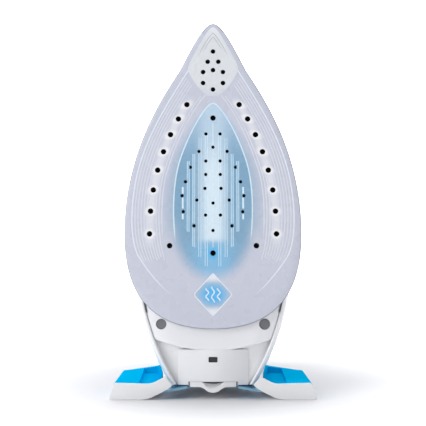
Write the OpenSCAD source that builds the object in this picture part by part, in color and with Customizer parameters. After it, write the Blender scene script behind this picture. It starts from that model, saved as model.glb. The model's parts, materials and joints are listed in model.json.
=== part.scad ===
// Steam iron standing on its heel, built as separate pieces.
// Most pieces are drawn in the iron's own frame and then leaned back as it stands:
//   X to the right, Y away from the ironing face, Z from the heel towards the tip.
// The feet are drawn upright, on the ground plane.

/* [Sole] */
// Length of the soleplate from rear edge to tip
sole_length = 231; // [220:1:240]
// Half of the soleplate's greatest width
sole_half = 65.5; // [63:0.5:68]
// Height of the soleplate's rear edge above the ground, along the sole
sole_rear = 51.5; // [50:0.5:54]
// Thickness of the soleplate
sole_thick = 2.4; // [1.8:0.2:3]
// Radius of the steam holes beside the edge
edge_hole_r = 1.8; // [1.2:0.1:2.2]
// Radius of the steam holes in the tip
tip_hole_r = 1.5; // [1:0.1:1.8]
// Radius of the fine steam holes in the middle
fine_hole_r = 1.0; // [0.7:0.1:1.3]

/* [Stance] */
// Angle by which the iron leans back when it stands
lean = 8; // [7:0.5:9]
// Half of the distance across the feet
foot_reach = 75.9; // [74:0.1:80]
// Depth of the feet from front to back
foot_depth = 72; // [68:1:78]
// Distance from the ground line of the sole to the middle of the whole iron
centre_depth = 86.23; // [84:0.01:88]

/* [Body] */
// Half of the body's greatest width
body_half = 59.5; // [56:0.5:61]
// Distance from the ironing face to the joint between lower housing and tank
split_level = 44; // [42:1:46]
// Wall thickness of the plastic shells
wall = 2.4; // [2:0.1:3]

/* [Handle] */
// Distance from the ironing face to the middle of the handle
handle_level = 131; // [128:1:134]
// Half of the handle's width
handle_half = 17; // [15:0.5:19]
// Half of the handle's thickness
handle_thick = 13; // [11:0.5:14]

/* [Controls] */
// Radius of the thermostat dial
dial_r = 21; // [18:0.5:24]
// Radius of the dial shaft
shaft_r = 3; // [2.5:0.1:4]
// Running clearance of shafts and pistons in their bores
running = 0.05; // [0.03:0.01:0.08]
// Travel of the two pump buttons
button_travel = 4; // [3:0.5:5]

/* [Calc collector] */
// Radius of the collector's cartridge
cartridge_r = 7.5; // [6:0.5:7.5]
// Half of the width of the collector's housing
collector_half = 26; // [24:1:28]

/* [Cord inlet] */
// Radius of the hole for the cord
cord_r = 3.2; // [2.8:0.1:3.8]

/* [Hidden] */

$fn = 64;
base_top = 14;                            // top of the cast heating base
cover_top = 16.3;
skirt_top = 20;
widest = 118;                             // where the body is widest
nose_run = 148;                           // length of the body ahead of that place
ring_sides = 28;                          // corners of a lofted section

// Places of the controls along the iron
dial_z = 103;
regulator_z = 232;
pipe_z = 244;                             // pipe from the tank to the spray nozzle
button_z = 201;
stem_z = 207;
button_x = 8.5;
filler_at = [0, 64.3, 248.5];
filler_tilt = 55;                         // angle of the filler's axis from Z towards Y
gland_at = [0, 122, 48];
gland_tilt = 120;                         // angle of the cord inlet's axis from Z towards Y
deck_top = 60;
deck_front = 128;
collector_y = 32;

// ---------- frames ----------

module standing() {
    translate([0, -centre_depth, 0])
        rotate([-lean, 0, 0])
            children();
}

module ground() {
    translate([0, -centre_depth, 0])
        children();
}

// A flat outline in X and Z, given depth from level y0 to y1
module slab(y0, y1) {
    translate([0, y1, 0])
        rotate([90, 0, 0])
            linear_extrude(y1 - y0)
                children();
}

// A round post along Y
module post(x, z, y0, y1, r) {
    translate([x, y1, z])
        rotate([90, 0, 0])
            cylinder(h = y1 - y0, r = r);
}

// The same on both sides of the middle plane
module both() {
    children();
    mirror([1, 0, 0])
        children();
}

module at_filler() {
    translate(filler_at)
        rotate([-filler_tilt, 0, 0])
            children();
}

module at_gland() {
    translate(gland_at)
        rotate([-gland_tilt, 0, 0])
            children();
}

// ---------- curves ----------

function bezier(a, b, c, d, t) =
    pow(1 - t, 3) * a + 3 * pow(1 - t, 2) * t * b + 3 * (1 - t) * t * t * c + pow(t, 3) * d;

function bezier_way(a, b, c, d, t) =
    pow(1 - t, 2) * (b - a) + 2 * (1 - t) * t * (c - b) + t * t * (d - c);

// Right half of the sole's outline, from tip to rear, as fractions of half width and length
function sole_curve(n) = concat(
    [for (i = [0 : n - 1]) bezier([0, 1], [0.107, 1], [0.237, 0.921], [0.383, 0.84], i / n)],
    [for (i = [0 : n - 1]) bezier([0.383, 0.84], [0.672, 0.714], [1, 0.545], [1, 0.31], i / n)],
    [for (i = [0 : n]) bezier([1, 0.31], [1, 0.104], [0.672, 0], [0, 0], i / n)]
);

// Whole outline, pulled in by the distance given
function sole_points(inset, n = 12) =
    let (
        half = [
            for (p = sole_curve(n))
                [p.x * (sole_half - inset), sole_rear + inset + p.y * (sole_length - 3 * inset)]
        ],
        last = len(half) - 1
    )
    concat(half, [for (i = [last - 1 : -1 : 1]) [-half[i].x, half[i].y]]);

// Half width of the body at height z
function body_w(z) =
    z > widest
        ? body_half * pow(max(0, 1 - pow((z - widest) / nose_run, 2)), 0.8)
        : body_half - 0.0004 * pow(widest - z, 2.39);

// Level of the top of the water tank at height z
function tank_top(z) = split_level + 44 * pow(max(0, 1 - pow(abs(z - 150) / 116, 2.4)), 0.7);

// Level of the front of the lower housing at height z: deeper at the heel, below the sole
function housing_front(z) = z < sole_rear - 6 ? 12 : skirt_top;

function sign_pow(v, p) = sign(v) * pow(abs(v), p);

// Half of a superellipse with its flat side on y = base; way 1 bulges up, -1 down
function half_ring(w, base, height, power, way) = [
    for (i = [0 : ring_sides / 2])
        let (a = 180 * i / (ring_sides / 2))
            [w * sign_pow(cos(a), 2 / power), base + way * height * pow(sin(a), 2 / power)]
];

function whole_ring(w, middle, height, power) = [
    for (i = [0 : ring_sides - 1])
        let (a = 360 * i / ring_sides)
            [w * sign_pow(cos(a), 2 / power), middle + height * sign_pow(sin(a), 2 / power)]
];

// Closed skin over rings that all have the same number of points
module skin(rings) {
    n = len(rings[0]);
    last = len(rings) - 1;
    polyhedron(
        points = [for (ring = rings, p = ring) p],
        faces = concat(
            [[for (i = [0 : n - 1]) i]],
            [
                for (r = [0 : last - 1], i = [0 : n - 1])
                    [r * n + i, (r + 1) * n + i, (r + 1) * n + (i + 1) % n, r * n + (i + 1) % n]
            ],
            [[for (i = [n - 1 : -1 : 0]) last * n + i]]
        ),
        convexity = 6
    );
}

// A ring of [x, y] points laid at height z, or of [x, z] points laid at level y
function at_height(ring, z) = [for (p = ring) [p.x, p.y, z]];
function at_level(ring, y) = [for (p = ring) [p.x, y, p.y]];
function turned(ring) = [for (i = [len(ring) - 1 : -1 : 0]) ring[i]];

// ---------- sole ----------

edge_holes = [
    for (i = [0 : 7])
        let (z = 70 + 17.4 * i - 0.49 * i * i)
            [46.9 - 27.4 * pow((z - 68) / 100, 2.25), z]
];
tip_holes = [[0, 209], [4, 201], [0, 194.5], [7.5, 193], [7.5, 184.5], [0, 179.5]];
outer_fine = [[20.5, 109], [23, 98.5], [22, 86.5], [14, 76], [16.8, 120], [10.5, 132], [5.3, 145.3]];
inner_fine = [[5.3, 124.7], [5.4, 114.5], [6, 104], [12, 95.2], [5.5, 84], [0, 135.2], [0, 93], [0, 72.5]];
wide_holes = [[0, 157.5], [0, 55.7], [32, 61.2]];

module hole_row(list, r, y0, y1) {
    for (p = list) {
        post(p.x, sole_rear + p.y, y0, y1, r);
        if (p.x > 0)
            post(-p.x, sole_rear + p.y, y0, y1, r);
    }
}

module steam_holes(y0, y1, more = 0) {
    hole_row(edge_holes, edge_hole_r + more, y0, y1);
    hole_row(wide_holes, edge_hole_r + more, y0, y1);
    hole_row(tip_holes, tip_hole_r + more, y0, y1);
    hole_row(outer_fine, fine_hole_r + more, y0, y1);
    hole_row(inner_fine, fine_hole_r + more, y0, y1);
}

module soleplate() {
    color("#C5C8D9")
        standing()
            difference() {
                union() {
                    slab(0, 0.6)
                        polygon(sole_points(0.7));
                    slab(0.6, sole_thick)
                        polygon(sole_points(0));
                }
                steam_holes(-1, sole_thick + 1);
            }
}

// Middle line of the heating element: a bend near the tip and two straight legs
bend_r = 14;
bend_z = sole_rear + 165;
leg_angle = 12;
leg_length = 116;
element_y = 9;
element_r = 3.6;

// Ring of the element's tube at angle a of its bend, moved along the leg there by the distance given
function element_ring(a, along_leg) =
    let (
        side = a < 90 ? 1 : -1,
        x = bend_r * cos(a) + side * along_leg * sin(leg_angle),
        z = bend_z + bend_r * sin(a) - along_leg * cos(leg_angle)
    )
    [
        for (k = [0 : 15])
            let (out = element_r * cos(22.5 * k))
                [x + out * cos(a), element_y + element_r * sin(22.5 * k), z + out * sin(a)]
    ];

// Plan of the groove in the casting that the element lies in
module element_groove() {
    half = element_r + 0.1;
    far = 2 * bend_r;
    translate([0, bend_z])
        intersection() {
            difference() {
                circle(r = bend_r + half);
                circle(r = bend_r - half);
            }
            polygon([[0, 0], [far, far * tan(leg_angle)], [far, far], [-far, far], [-far, far * tan(leg_angle)]]);
        }
    both()
        translate([bend_r * cos(leg_angle), bend_z + bend_r * sin(leg_angle)])
            rotate([0, 0, leg_angle])
                translate([-half, -leg_length - terminal_reach - 4])
                    square([2 * half, leg_length + terminal_reach + 4]);
}

module heating_base() {
    color("#B9BCC0")
        standing()
            difference() {
                slab(sole_thick, base_top)
                    polygon(sole_points(6));
                slab(6, base_top + 1)
                    steam_chamber();
                slab(element_y - element_r - 0.1, base_top + 1)
                    element_groove();
                steam_holes(sole_thick - 1, 7, 0.4);
                for (p = screw_places)
                    post(p.x, p.y, 7, base_top + 1, 1.5);
            }
}

// Two chambers of the casting: the flash chamber between the element's legs and the tip chamber
module steam_chamber() {
    polygon([
        for (p = sole_points(0))
            [p.x * 0.38, sole_rear + 40 + (p.y - sole_rear) * 0.5]
    ]);
}

screw_places = [[-12, sole_rear + 30], [12, sole_rear + 30], [0, sole_rear + 170]];

module heating_element() {
    color("#6E6A66")
        standing()
            skin(concat(
                [element_ring(leg_angle, leg_length)],
                [for (i = [0 : 12]) element_ring(leg_angle + (180 - 2 * leg_angle) * i / 12, 0)],
                [element_ring(180 - leg_angle, leg_length)]
            ));
}

leg_end_x = bend_r * cos(leg_angle) + leg_length * sin(leg_angle);
leg_end_z = bend_z + bend_r * sin(leg_angle) - leg_length * cos(leg_angle);

// Where the terminal posts stand, beyond the ends of the legs
terminal_reach = 10;
terminal_x = leg_end_x + terminal_reach * sin(leg_angle);
terminal_z = leg_end_z - terminal_reach * cos(leg_angle);

module element_terminals() {
    color("#D8C27A")
        standing()
            both() {
                translate([leg_end_x, element_y, leg_end_z])
                    rotate([0, 180 - leg_angle, 0])
                        cylinder(h = terminal_reach, r = 1.6);
                post(terminal_x, terminal_z, element_y - 1, 30, 2.4);
            }
}

module chamber_gasket() {
    color("#C65A3A")
        standing()
            slab(base_top, base_top + 0.8)
                difference() {
                    cover_outline();
                    steam_chamber();
                    for (p = screw_places)
                        translate(p)
                            circle(r = 1.7);
                }
}

module cover_outline() {
    polygon([
        for (p = sole_points(0))
            [p.x * 0.52, sole_rear + 22 + (p.y - sole_rear) * 0.68]
    ]);
}

module chamber_cover() {
    color("#C9CBCE")
        standing()
            difference() {
                slab(base_top + 0.8, cover_top)
                    cover_outline();
                post(0, sole_rear + 122, base_top, cover_top + 1, 3);
                post(0, sole_rear + 45, base_top, cover_top + 1, 4);
                for (p = screw_places)
                    post(p.x, p.y, base_top, cover_top + 1, 1.7);
            }
}

module cover_screws() {
    color("#8E9093")
        standing()
            for (p = screw_places) {
                post(p.x, p.y, 8, cover_top + 0.01, 1.45);
                difference() {
                    post(p.x, p.y, cover_top, cover_top + 2.2, 3.2);
                    post(p.x, p.y, cover_top + 1.2, cover_top + 3, 1.2);
                }
            }
}

// Heat shield between the hot base and the plastic housing
module sole_skirt() {
    color("#E9EAEE")
        standing()
            difference() {
                slab(sole_thick + 0.6, skirt_top)
                    polygon(sole_points(2.5));
                slab(sole_thick - 1, skirt_top - 2)
                    polygon(sole_points(5.2));
                slab(skirt_top - 3, skirt_top + 1)
                    polygon([
                        for (p = sole_points(0))
                            [p.x * 0.56, sole_rear + 18 + (p.y - sole_rear) * 0.72]
                    ]);
                both()
                    post(terminal_x, terminal_z, skirt_top - 4, skirt_top + 2, 4);
            }
}

// ---------- lower housing and heel ----------

housing_heights = [16, 24, 32, 42, 46, 60, 80, 100, 120, 145, 170, 192, 212, 230, 245, 255, 260, 263];

module housing_loft(thin, z_from, z_to) {
    skin([
        for (z = housing_heights)
            if (z >= z_from && z <= z_to)
                at_height(
                    turned(half_ring(
                        body_w(z) - thin,
                        split_level - thin,
                        split_level - housing_front(z) - 2 * thin,
                        z < sole_rear - 6 ? 7 : 4,
                        -1
                    )),
                    z
                )
    ]);
}

module lower_housing() {
    color("#F1F2F4")
        standing()
            difference() {
                housing_loft(0, 16, 263);
                housing_loft(wall, 24, 245);
                // way for the calc collector through the heel
                translate([-12, collector_y - 11.5, 10])
                    cube([24, 22.3, 16]);
                // open underside over the heating base
                slab(skirt_top - 2, skirt_top + wall + 2)
                    polygon([
                        for (p = sole_points(0))
                            [p.x * 0.5, sole_rear + 24 + (p.y - sole_rear) * 0.64]
                    ]);
                both()
                    post(terminal_x, terminal_z, skirt_top - 2, 31, 5);
                // shaft, valve and pipe holes in the flat top
                post(0, dial_z, split_level - 6, split_level + 2, 8);
                post(0, regulator_z, split_level - 6, split_level + 2, 6);
                post(0, pipe_z, split_level - 6, split_level + 2, 3.4);
            }
}

// Height of the ledge that ends the heel panel, at distance x from the middle
function ledge_z(x) = 36.4 + 8 * pow(x / 43, 2.2);

panel_inset = 5;                          // how far the heel panel's sides stand in from the body's

module heel_panel_outline() {
    polygon(concat(
        [for (z = [44.5 : 6 : 98.5]) [body_w(z) - panel_inset, z]],
        [for (z = [98.5 : -6 : 44.5]) [panel_inset - body_w(z), z]],
        [for (x = [-42 : 4 : 42]) [x, ledge_z(abs(x))]]
    ));
}

plug_place = [38, 55.4];

module heel_panel() {
    color("#EDEEF1")
        standing()
            difference() {
                slab(sole_thick + 1.6, 12)
                    heel_panel_outline();
                slab(0, 14)
                    polygon(sole_points(1.6));
                both()
                    post(plug_place.x, plug_place.y, 0, 7, 3.9);
            }
}

module screw_plugs() {
    color("#77787C")
        standing()
            both()
                difference() {
                    post(plug_place.x, plug_place.y, 5.4, 7, 3.8);
                    translate([plug_place.x, 5.2, plug_place.y])
                        cube([5.2, 1.4, 1], center = true);
                }
}

// ---------- calc collector ----------

collector_top = ledge_z(0);
collector_foot = 11.3;
drawer_half = 17.2;                       // half width of the drawer's face
drawer_top = 13.4;
bulge_r = 52;                             // radius of the housing's rounded front
bulge_y = sole_thick + 1.6;               // level of the foremost line of that front

// Piece of the rounded front, from height z0 to z1
module collector_front(half, z0, z1, thin, back = 12) {
    translate([0, 0, z0])
        linear_extrude(z1 - z0)
            intersection() {
                translate([0, bulge_y + bulge_r])
                    circle(r = bulge_r - thin, $fn = 96);
                translate([-half, 0])
                    square([2 * half, back]);
            }
}

module collector_housing() {
    color("#ECEDF1")
        standing()
            difference() {
                collector_front(collector_half, collector_foot, collector_top, 0);
                collector_front(collector_half - 2, drawer_top + 2, collector_top - 2, 2, 13);
                translate([-drawer_half - 0.3, 0, collector_foot - 1])
                    cube([2 * drawer_half + 0.6, 13, drawer_top - collector_foot + 1.3]);
                translate([-3.3, 2, 27.5])
                    cube([6.6, 4.5, 4]);
            }
}

module collector_window() {
    color("#22252A")
        standing()
            translate([-3.2, bulge_y + 0.6, 27.6])
                cube([6.4, 2, 3.8]);
}

module collector_sleeve() {
    color("#D9DBDF")
        standing()
            difference() {
                union() {
                    translate([0, collector_y, 18])
                        cylinder(h = 44, r = cartridge_r + 1.8);
                    translate([0, collector_y, 18])
                        cylinder(h = 2, r = cartridge_r + 2.8);
                }
                translate([0, collector_y, 17])
                    cylinder(h = 43, r = cartridge_r + running);
            }
}

// Finger tab below the drawer's face, hollowed for a fingertip
module scoop_tab() {
    difference() {
        slab(bulge_y + 0.2, bulge_y + 3.2)
            difference() {
                translate([0, drawer_top + 0.6])
                    circle(r = 8.3);
                translate([-20, drawer_top - 2])
                    square([40, 20]);
            }
        slab(0, bulge_y + 1.6)
            translate([0, drawer_top + 1.4])
                circle(r = 7.2);
    }
}

// Drawer of the calc collector: cartridge, end plate and the scooped finger tab
module calc_collector() {
    color("#E6E7EB")
        standing() {
            difference() {
                union() {
                    translate([0, collector_y, 12])
                        cylinder(h = 44, r = cartridge_r);
                    collector_front(drawer_half, 9.8, drawer_top, 0, collector_y + 10);
                }
                translate([0, collector_y, 16])
                    cylinder(h = 41, r = cartridge_r - 1.6);
                for (k = [0 : 3])
                    translate([-20, collector_y - 1.5, 24 + 8 * k])
                        cube([40, 3, 4]);
            }
            scoop_tab();
        }
}

module collector_seal() {
    color("#3A3C40")
        standing()
            translate([0, collector_y, drawer_top])
                difference() {
                    cylinder(h = 2, r = cartridge_r + 1.6);
                    translate([0, 0, -1])
                        cylinder(h = 4, r = cartridge_r);
                }
}

// ---------- feet ----------

foot_front = 3;
foot_lift = 0.3;                          // the rubber pads stand this far below the feet
tray_top = 6.5;
cap_top = 12.3;

module foot_profile() {
    polygon([
        [foot_reach, foot_lift], [foot_reach - 4.2, 12.6], [43.6, 12.1], [34.6, 16.6],
        [28, 11.2], [30, 9.6], [38, 5.4], [46, 1.4], [51, foot_lift]
    ]);
}

module foot() {
    color("#F3F4F5")
        ground()
            difference() {
                union() {
                    translate([0, foot_front + 2.4, 0])
                        rotate([90, 0, 0])
                            linear_extrude(2.4)
                                foot_profile();
                    intersection() {
                        translate([0, foot_front + foot_depth, 0])
                            rotate([90, 0, 0])
                                linear_extrude(foot_depth)
                                    foot_profile();
                        union() {
                            translate([28, foot_front, 0])
                                cube([10, foot_depth, 11.2]);
                            translate([28, foot_front, 0])
                                cube([50, foot_depth, tray_top]);
                        }
                    }
                }
                for (y = pad_rows)
                    translate([54, y, -1])
                        cube([16, 12, 3]);
                under_housing();
            }
}

// The space that the housing above the feet takes up
module under_housing() {
    translate([0, centre_depth, 0])
        standing()
            translate([-60, bulge_y, 15.8])
                cube([120, split_level + 0.5 - bulge_y, 40]);
}

pad_rows = [foot_front + 6, foot_front + foot_depth - 18];

module foot_left() {
    mirror([1, 0, 0])
        foot();
}

module foot_right() {
    foot();
}

module foot_cap() {
    color("#00A8F0")
        ground()
            difference() {
                translate([0, 0, tray_top])
                    linear_extrude(cap_top - tray_top)
                        polygon([
                            [38.1, foot_front + 2.5], [foot_reach - 3.4, foot_front + 2.5],
                            [foot_reach - 4.8, foot_front + foot_depth], [42, foot_front + foot_depth],
                            [38.1, foot_front + 40]
                        ]);
                translate([43.5, foot_front + 9, tray_top + 2.5])
                    cube([10.5, foot_depth - 14, 5]);
            }
}

module foot_cap_left() {
    mirror([1, 0, 0])
        foot_cap();
}

module foot_cap_right() {
    foot_cap();
}

module arch_plate() {
    color("#9CCBE6", 0.7)
        ground()
            translate([0, foot_front + 2.6, 8])
                difference() {
                    translate([-27.9, 0, 0])
                        cube([55.8, foot_depth - 4, 1.4]);
                    translate([-drawer_half - 1.2, -1, -1])
                        cube([2 * drawer_half + 2.4, 46, 4]);
                }
}

module foot_pads() {
    color("#2B2D30")
        ground()
            both()
                for (y = pad_rows)
                    translate([54.2, y + 0.2, 0])
                        cube([15.6, 11.6, 2]);
}

// ---------- upper body ----------

module rear_column() {
    color("#F1F2F4")
        standing()
            difference() {
                column_loft(0);
                column_loft(wall);
                post(0, 50, column_top - 5, column_top + 5, 6);
            }
}

column_top = 106;

// Stations of the rear column: level, half width, lowest and highest z
column_stations = [
    [split_level, 46, 18.8, 79.7], [54, 45, 19.4, 79.7], [66, 41.5, 20.6, 77], [77, 36.5, 22.2, 71.5],
    [87, 30, 24.2, 65], [97, 23, 26.8, 59.5], [column_top, handle_half + 0.5, 29.5, 56.5]
];

module column_loft(thin) {
    skin([
        for (s = column_stations)
            let (
                rise = thin == 0 ? 0 : (s[0] == split_level ? thin : (s[0] == column_top ? -thin : 0)),
                middle = (s[2] + s[3]) / 2
            )
                at_level(
                    turned(whole_ring(s[1] - thin, middle, (s[3] - s[2]) / 2 - thin, 3)),
                    s[0] + rise
                )
    ]);
}

module deck() {
    color("#E4E6EA")
        standing()
            difference() {
                skin([
                    for (z = [80 : 8 : deck_front])
                        at_height(half_ring(body_w(z) - 1, split_level, deck_top - split_level, 3.4, 1), z)
                ]);
                skin([
                    for (z = [84 : 8 : deck_front - 4])
                        at_height(half_ring(body_w(z) - 4, split_level + 2, deck_top - split_level - 5, 3.4, 1), z)
                ]);
                post(0, dial_z, split_level - 1, deck_top + 1, 6.3);
            }
}

tank_heights = [128.3, 140, 155, 170, 185, 200, 213, 225, 235, 243, 250, 255, 260, 263];

module tank_loft(thin, z_from, z_to) {
    skin([
        for (z = tank_heights)
            if (z >= z_from && z <= z_to)
                let (rise = tank_top(z) - split_level)
                    at_height(
                        half_ring(
                            body_w(z) - thin,
                            split_level + thin,
                            thin == 0 ? rise : rise * 0.66 - thin,
                            2.5,
                            1
                        ),
                        z
                    )
    ]);
}

module water_tank() {
    color("#2E9BE0", 0.6)
        standing()
            difference() {
                tank_loft(0, 128, 263);
                tank_loft(wall, 140, 250);
                slab(front_root.x - 0.2, 95)
                    translate([0, front_root.y])
                        polygon(whole_ring(handle_half + 0.3, 0, handle_thick + 0.3, 2.6));
                at_filler()
                    translate([0, 0, -16])
                        cylinder(h = 30, r = 9.8, $fn = 32);
                at_filler()
                    translate([-hinge_half - 0.3, 6.4, -2])
                        cube([2 * hinge_half + 0.6, 8, 9]);
                post(0, regulator_z, split_level - 1, 90, bushing_r + 0.2);
                post(0, regulator_z, split_level - 1, split_level + 7, seat_r + 0.2);
                post(0, pipe_z, split_level - 1, 52, 3.4);
            }
}

// ---------- filler ----------

cap_hinge_y = 12;
cap_hinge_z = 3.2;
hinge_half = 8.5;                         // half length of the hinge across its lugs
pin_r = 1.1;

module filler_neck() {
    color("#E8EAEE")
        standing()
            at_filler()
                difference() {
                    union() {
                        translate([0, 0, -5])
                            cylinder(h = 6.5, r = 9.5);
                        both()
                            translate([6, 7, -1.5])
                                cube([hinge_half - 6, 7, 6.7]);
                    }
                    translate([0, 0, -9])
                        cylinder(h = 12, r = 7.2);
                    translate([-5.8, cap_hinge_y - 2.6, 1])
                        cube([11.6, 6, 6]);
                    translate([-20, cap_hinge_y, cap_hinge_z])
                        rotate([0, 90, 0])
                            cylinder(h = 40, r = pin_r + 0.02);
                }
}

module filler_cap() {
    color("#F4F5F7")
        standing()
            at_filler()
                difference() {
                    union() {
                        translate([0, 0, 1.8])
                            cylinder(h = 2.4, r = 9);
                        translate([0, 0, -1.5])
                            cylinder(h = 3.4, r = 5.4);
                        translate([-5.4, 6, 1.8])
                            cube([10.8, 5, 2.4]);
                        translate([-5.4, cap_hinge_y, cap_hinge_z])
                            rotate([0, 90, 0])
                                cylinder(h = 10.8, r = 2.3);
                    }
                    translate([-20, cap_hinge_y, cap_hinge_z])
                        rotate([0, 90, 0])
                            cylinder(h = 40, r = pin_r + running);
                }
}

module filler_seal() {
    color("#3F8FC4")
        standing()
            at_filler()
                translate([0, 0, -1])
                    difference() {
                        cylinder(h = 2, r = 6.6);
                        translate([0, 0, -1])
                            cylinder(h = 4, r = 5.4);
                    }
}

module cap_pin() {
    color("#B5B8BC")
        standing()
            at_filler()
                translate([-hinge_half, cap_hinge_y, cap_hinge_z])
                    rotate([0, 90, 0])
                        cylinder(h = 2 * hinge_half, r = pin_r);
}

// ---------- handle ----------

// Middle line of the handle as [y, z]: up from the rear column, forward, down to the tank
rear_root = [column_top, 43];
crest = [handle_level, 110];
front_bend = [handle_level - 19, 208];
front_root = [76, 207];

function handle_at(s) =
    s < 1
        ? bezier(rear_root, [124, 43], [handle_level, 62], crest, s)
        : s < 2
            ? bezier(crest, [handle_level + 2, 160], [handle_level + 3, 207], front_bend, s - 1)
            : bezier(front_bend, [96, 208], [88, 207], front_root, s - 2);

function handle_way(s) =
    s < 1
        ? bezier_way(rear_root, [124, 43], [handle_level, 62], crest, s)
        : s < 2
            ? bezier_way(crest, [handle_level + 2, 160], [handle_level + 3, 207], front_bend, s - 1)
            : bezier_way(front_bend, [96, 208], [88, 207], front_root, s - 2);

// Fractions along the handle at which a ring is laid
handle_steps = concat([for (i = [0 : 8]) i / 8], [for (i = [1 : 12]) 1 + i / 12], [2.33, 2.66, 3]);

// One side of the handle: way 1 is the outer side, -1 the inner side towards the fingers
module handle_half_loft(way) {
    skin([
        for (s = handle_steps)
            let (
                c = handle_at(s),
                v = handle_way(s) / norm(handle_way(s)),
                n = [v.y, -v.x],
                ring = half_ring(handle_half, 0, handle_thick, 2.6, way),
                order = way > 0 ? ring : turned(ring)
            )
                [for (p = order) [p.x, c.x + n.x * p.y, c.y + n.y * p.y]]
    ]);
}

block_half = 13.2;

module pump_pocket() {
    translate([-block_half - 0.2, 91.8, stem_z - 6.4])
        cube([2 * block_half + 0.4, 34.4, 12.8]);
}

// Room for the two buttons, deep enough for their travel
module button_pockets() {
    both()
        translate([button_x - 7.4, button_low - button_travel - 5, button_z - 8.4])
            cube([14.8, 40, 18]);
}

module handle_outer() {
    color("#F4F5F7")
        standing()
            difference() {
                handle_half_loft(1);
                pump_pocket();
                button_pockets();
                post(0, 166, handle_level + 9, handle_level + 20, 3.3);
                at_gland()
                    translate([0, 0, -10.3])
                        cylinder(h = 40, r = 11.2, $fn = 32);
            }
}

module handle_inner() {
    color("#DDE1E6")
        standing()
            difference() {
                handle_half_loft(-1);
                pump_pocket();
                button_pockets();
                at_gland()
                    translate([0, 0, -10.3])
                        cylinder(h = 40, r = 11.2, $fn = 32);
            }
}

// Soft pad along the underside of the handle
pad_steps = [for (i = [0 : 7]) 0.78 + i * 0.115];

module grip_pad() {
    color("#2C97DC")
        standing()
            difference() {
                pad_loft(handle_thick + 1.8, handle_half - 2.5);
                handle_half_loft(-1);
            }
}

module pad_loft(depth, width) {
    skin([
        for (s = pad_steps)
            let (
                c = handle_at(s),
                v = handle_way(s) / norm(handle_way(s)),
                n = [v.y, -v.x],
                ring = turned(half_ring(width, -handle_thick / 2, depth - handle_thick / 2, 2.6, -1))
            )
                [for (p = ring) [p.x, c.x + n.x * p.y, c.y + n.y * p.y]]
    ]);
}

// ---------- pumps and buttons ----------

button_low = 127;                         // underside of the buttons at rest
piston_r = 3.6;
pump_floor = 94;

module pump_block() {
    color("#D5D8DC")
        standing()
            difference() {
                translate([-block_half, 92, stem_z - 6.2])
                    cube([2 * block_half, 28, 12.4]);
                both()
                    post(button_x, stem_z, pump_floor, 121, piston_r + running);
                both()
                    post(button_x, stem_z, 91, pump_floor + 1, 1.2);
            }
}

// Cap of a pump button: its top follows the curve of the handle
module button_cap() {
    translate([-7, 0, 0])
        rotate([90, 0, 90])
            linear_extrude(14)
                polygon([
                    [button_low, button_z - 8], [button_low, button_z + 9.2],
                    [136, button_z + 9.2], [141.5, button_z + 2], [144, button_z - 8]
                ]);
}

module button_stem() {
    post(0, stem_z, button_low - 8, button_low + 0.5, 2.4);
}

module piston() {
    post(0, stem_z, 110, button_low - 8, piston_r);
}

// Compression spring, wound round the pump's axis and drawn at its pressed length
spring_turns = 5;
spring_wire = 0.4;
spring_steps = 14;                        // rings for each turn

function spring_ring(i) =
    let (
        a = 360 * i / spring_steps,
        r = piston_r - 0.9,
        y = pump_floor + 0.6 + 9.5 * i / (spring_turns * spring_steps)
    )
    [
        for (k = [0 : 5])
            let (out = r + spring_wire * cos(60 * k))
                [out * cos(a), y - spring_wire * sin(60 * k), stem_z + out * sin(a)]
    ];

module pump_spring() {
    skin([for (i = [0 : spring_turns * spring_steps]) spring_ring(i)]);
}

module steam_button() {
    color("#1C9BE8")
        standing()
            translate([button_x, 0, 0]) {
                button_cap();
                button_stem();
            }
}

module spray_button() {
    color("#1C9BE8")
        standing()
            translate([-button_x, 0, 0]) {
                button_cap();
                button_stem();
            }
}

module steam_piston() {
    color("#C9CCD0")
        standing()
            translate([button_x, 0, 0])
                piston();
}

module spray_piston() {
    color("#C9CCD0")
        standing()
            translate([-button_x, 0, 0])
                piston();
}

module steam_spring() {
    color("#9DA0A4")
        standing()
            translate([button_x, 0, 0])
                pump_spring();
}

module spray_spring() {
    color("#9DA0A4")
        standing()
            translate([-button_x, 0, 0])
                pump_spring();
}

nozzle_y = 35;
nose_end = 263;

module spray_nozzle() {
    color("#1C9BE8")
        standing()
            translate([0, nozzle_y, nose_end])
                difference() {
                    union() {
                        cylinder(h = 4, r = 4);
                        translate([0, 0, 4])
                            cylinder(h = 2, r = 2.6);
                    }
                    translate([0, 0, 1])
                        cylinder(h = 10, r = 0.6);
                }
}

module spray_pipe() {
    color("#C9DCE8")
        standing()
            difference() {
                post(0, pipe_z, 40, 50, 2.6);
                post(0, pipe_z, 39, 51, 1.6);
            }
}

// ---------- thermostat and dial ----------

module thermostat() {
    color("#D9D2C0")
        standing()
            difference() {
                union() {
                    translate([-9, cover_top, dial_z - 12])
                        cube([18, 7, 24]);
                    post(0, dial_z, cover_top + 7, cover_top + 12, 6);
                }
                post(0, dial_z, cover_top + 4, cover_top + 13, shaft_r + running);
            }
}

module thermal_fuse() {
    color("#CFC9B8")
        standing()
            translate([-8, cover_top + 3, sole_rear + 88])
                rotate([0, 90, 0])
                    cylinder(h = 16, r = 3);
}

module dial_shaft() {
    color("#B9A25A")
        standing()
            post(0, dial_z, cover_top + 6, deck_top + 4, shaft_r);
}

module dial_bushing() {
    color("#C9CCD0")
        standing()
            difference() {
                union() {
                    post(0, dial_z, deck_top - 8, deck_top + 0.6, 6);
                    post(0, dial_z, deck_top, deck_top + 0.6, 9);
                }
                post(0, dial_z, deck_top - 9, deck_top + 2, shaft_r + running);
            }
}

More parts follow.
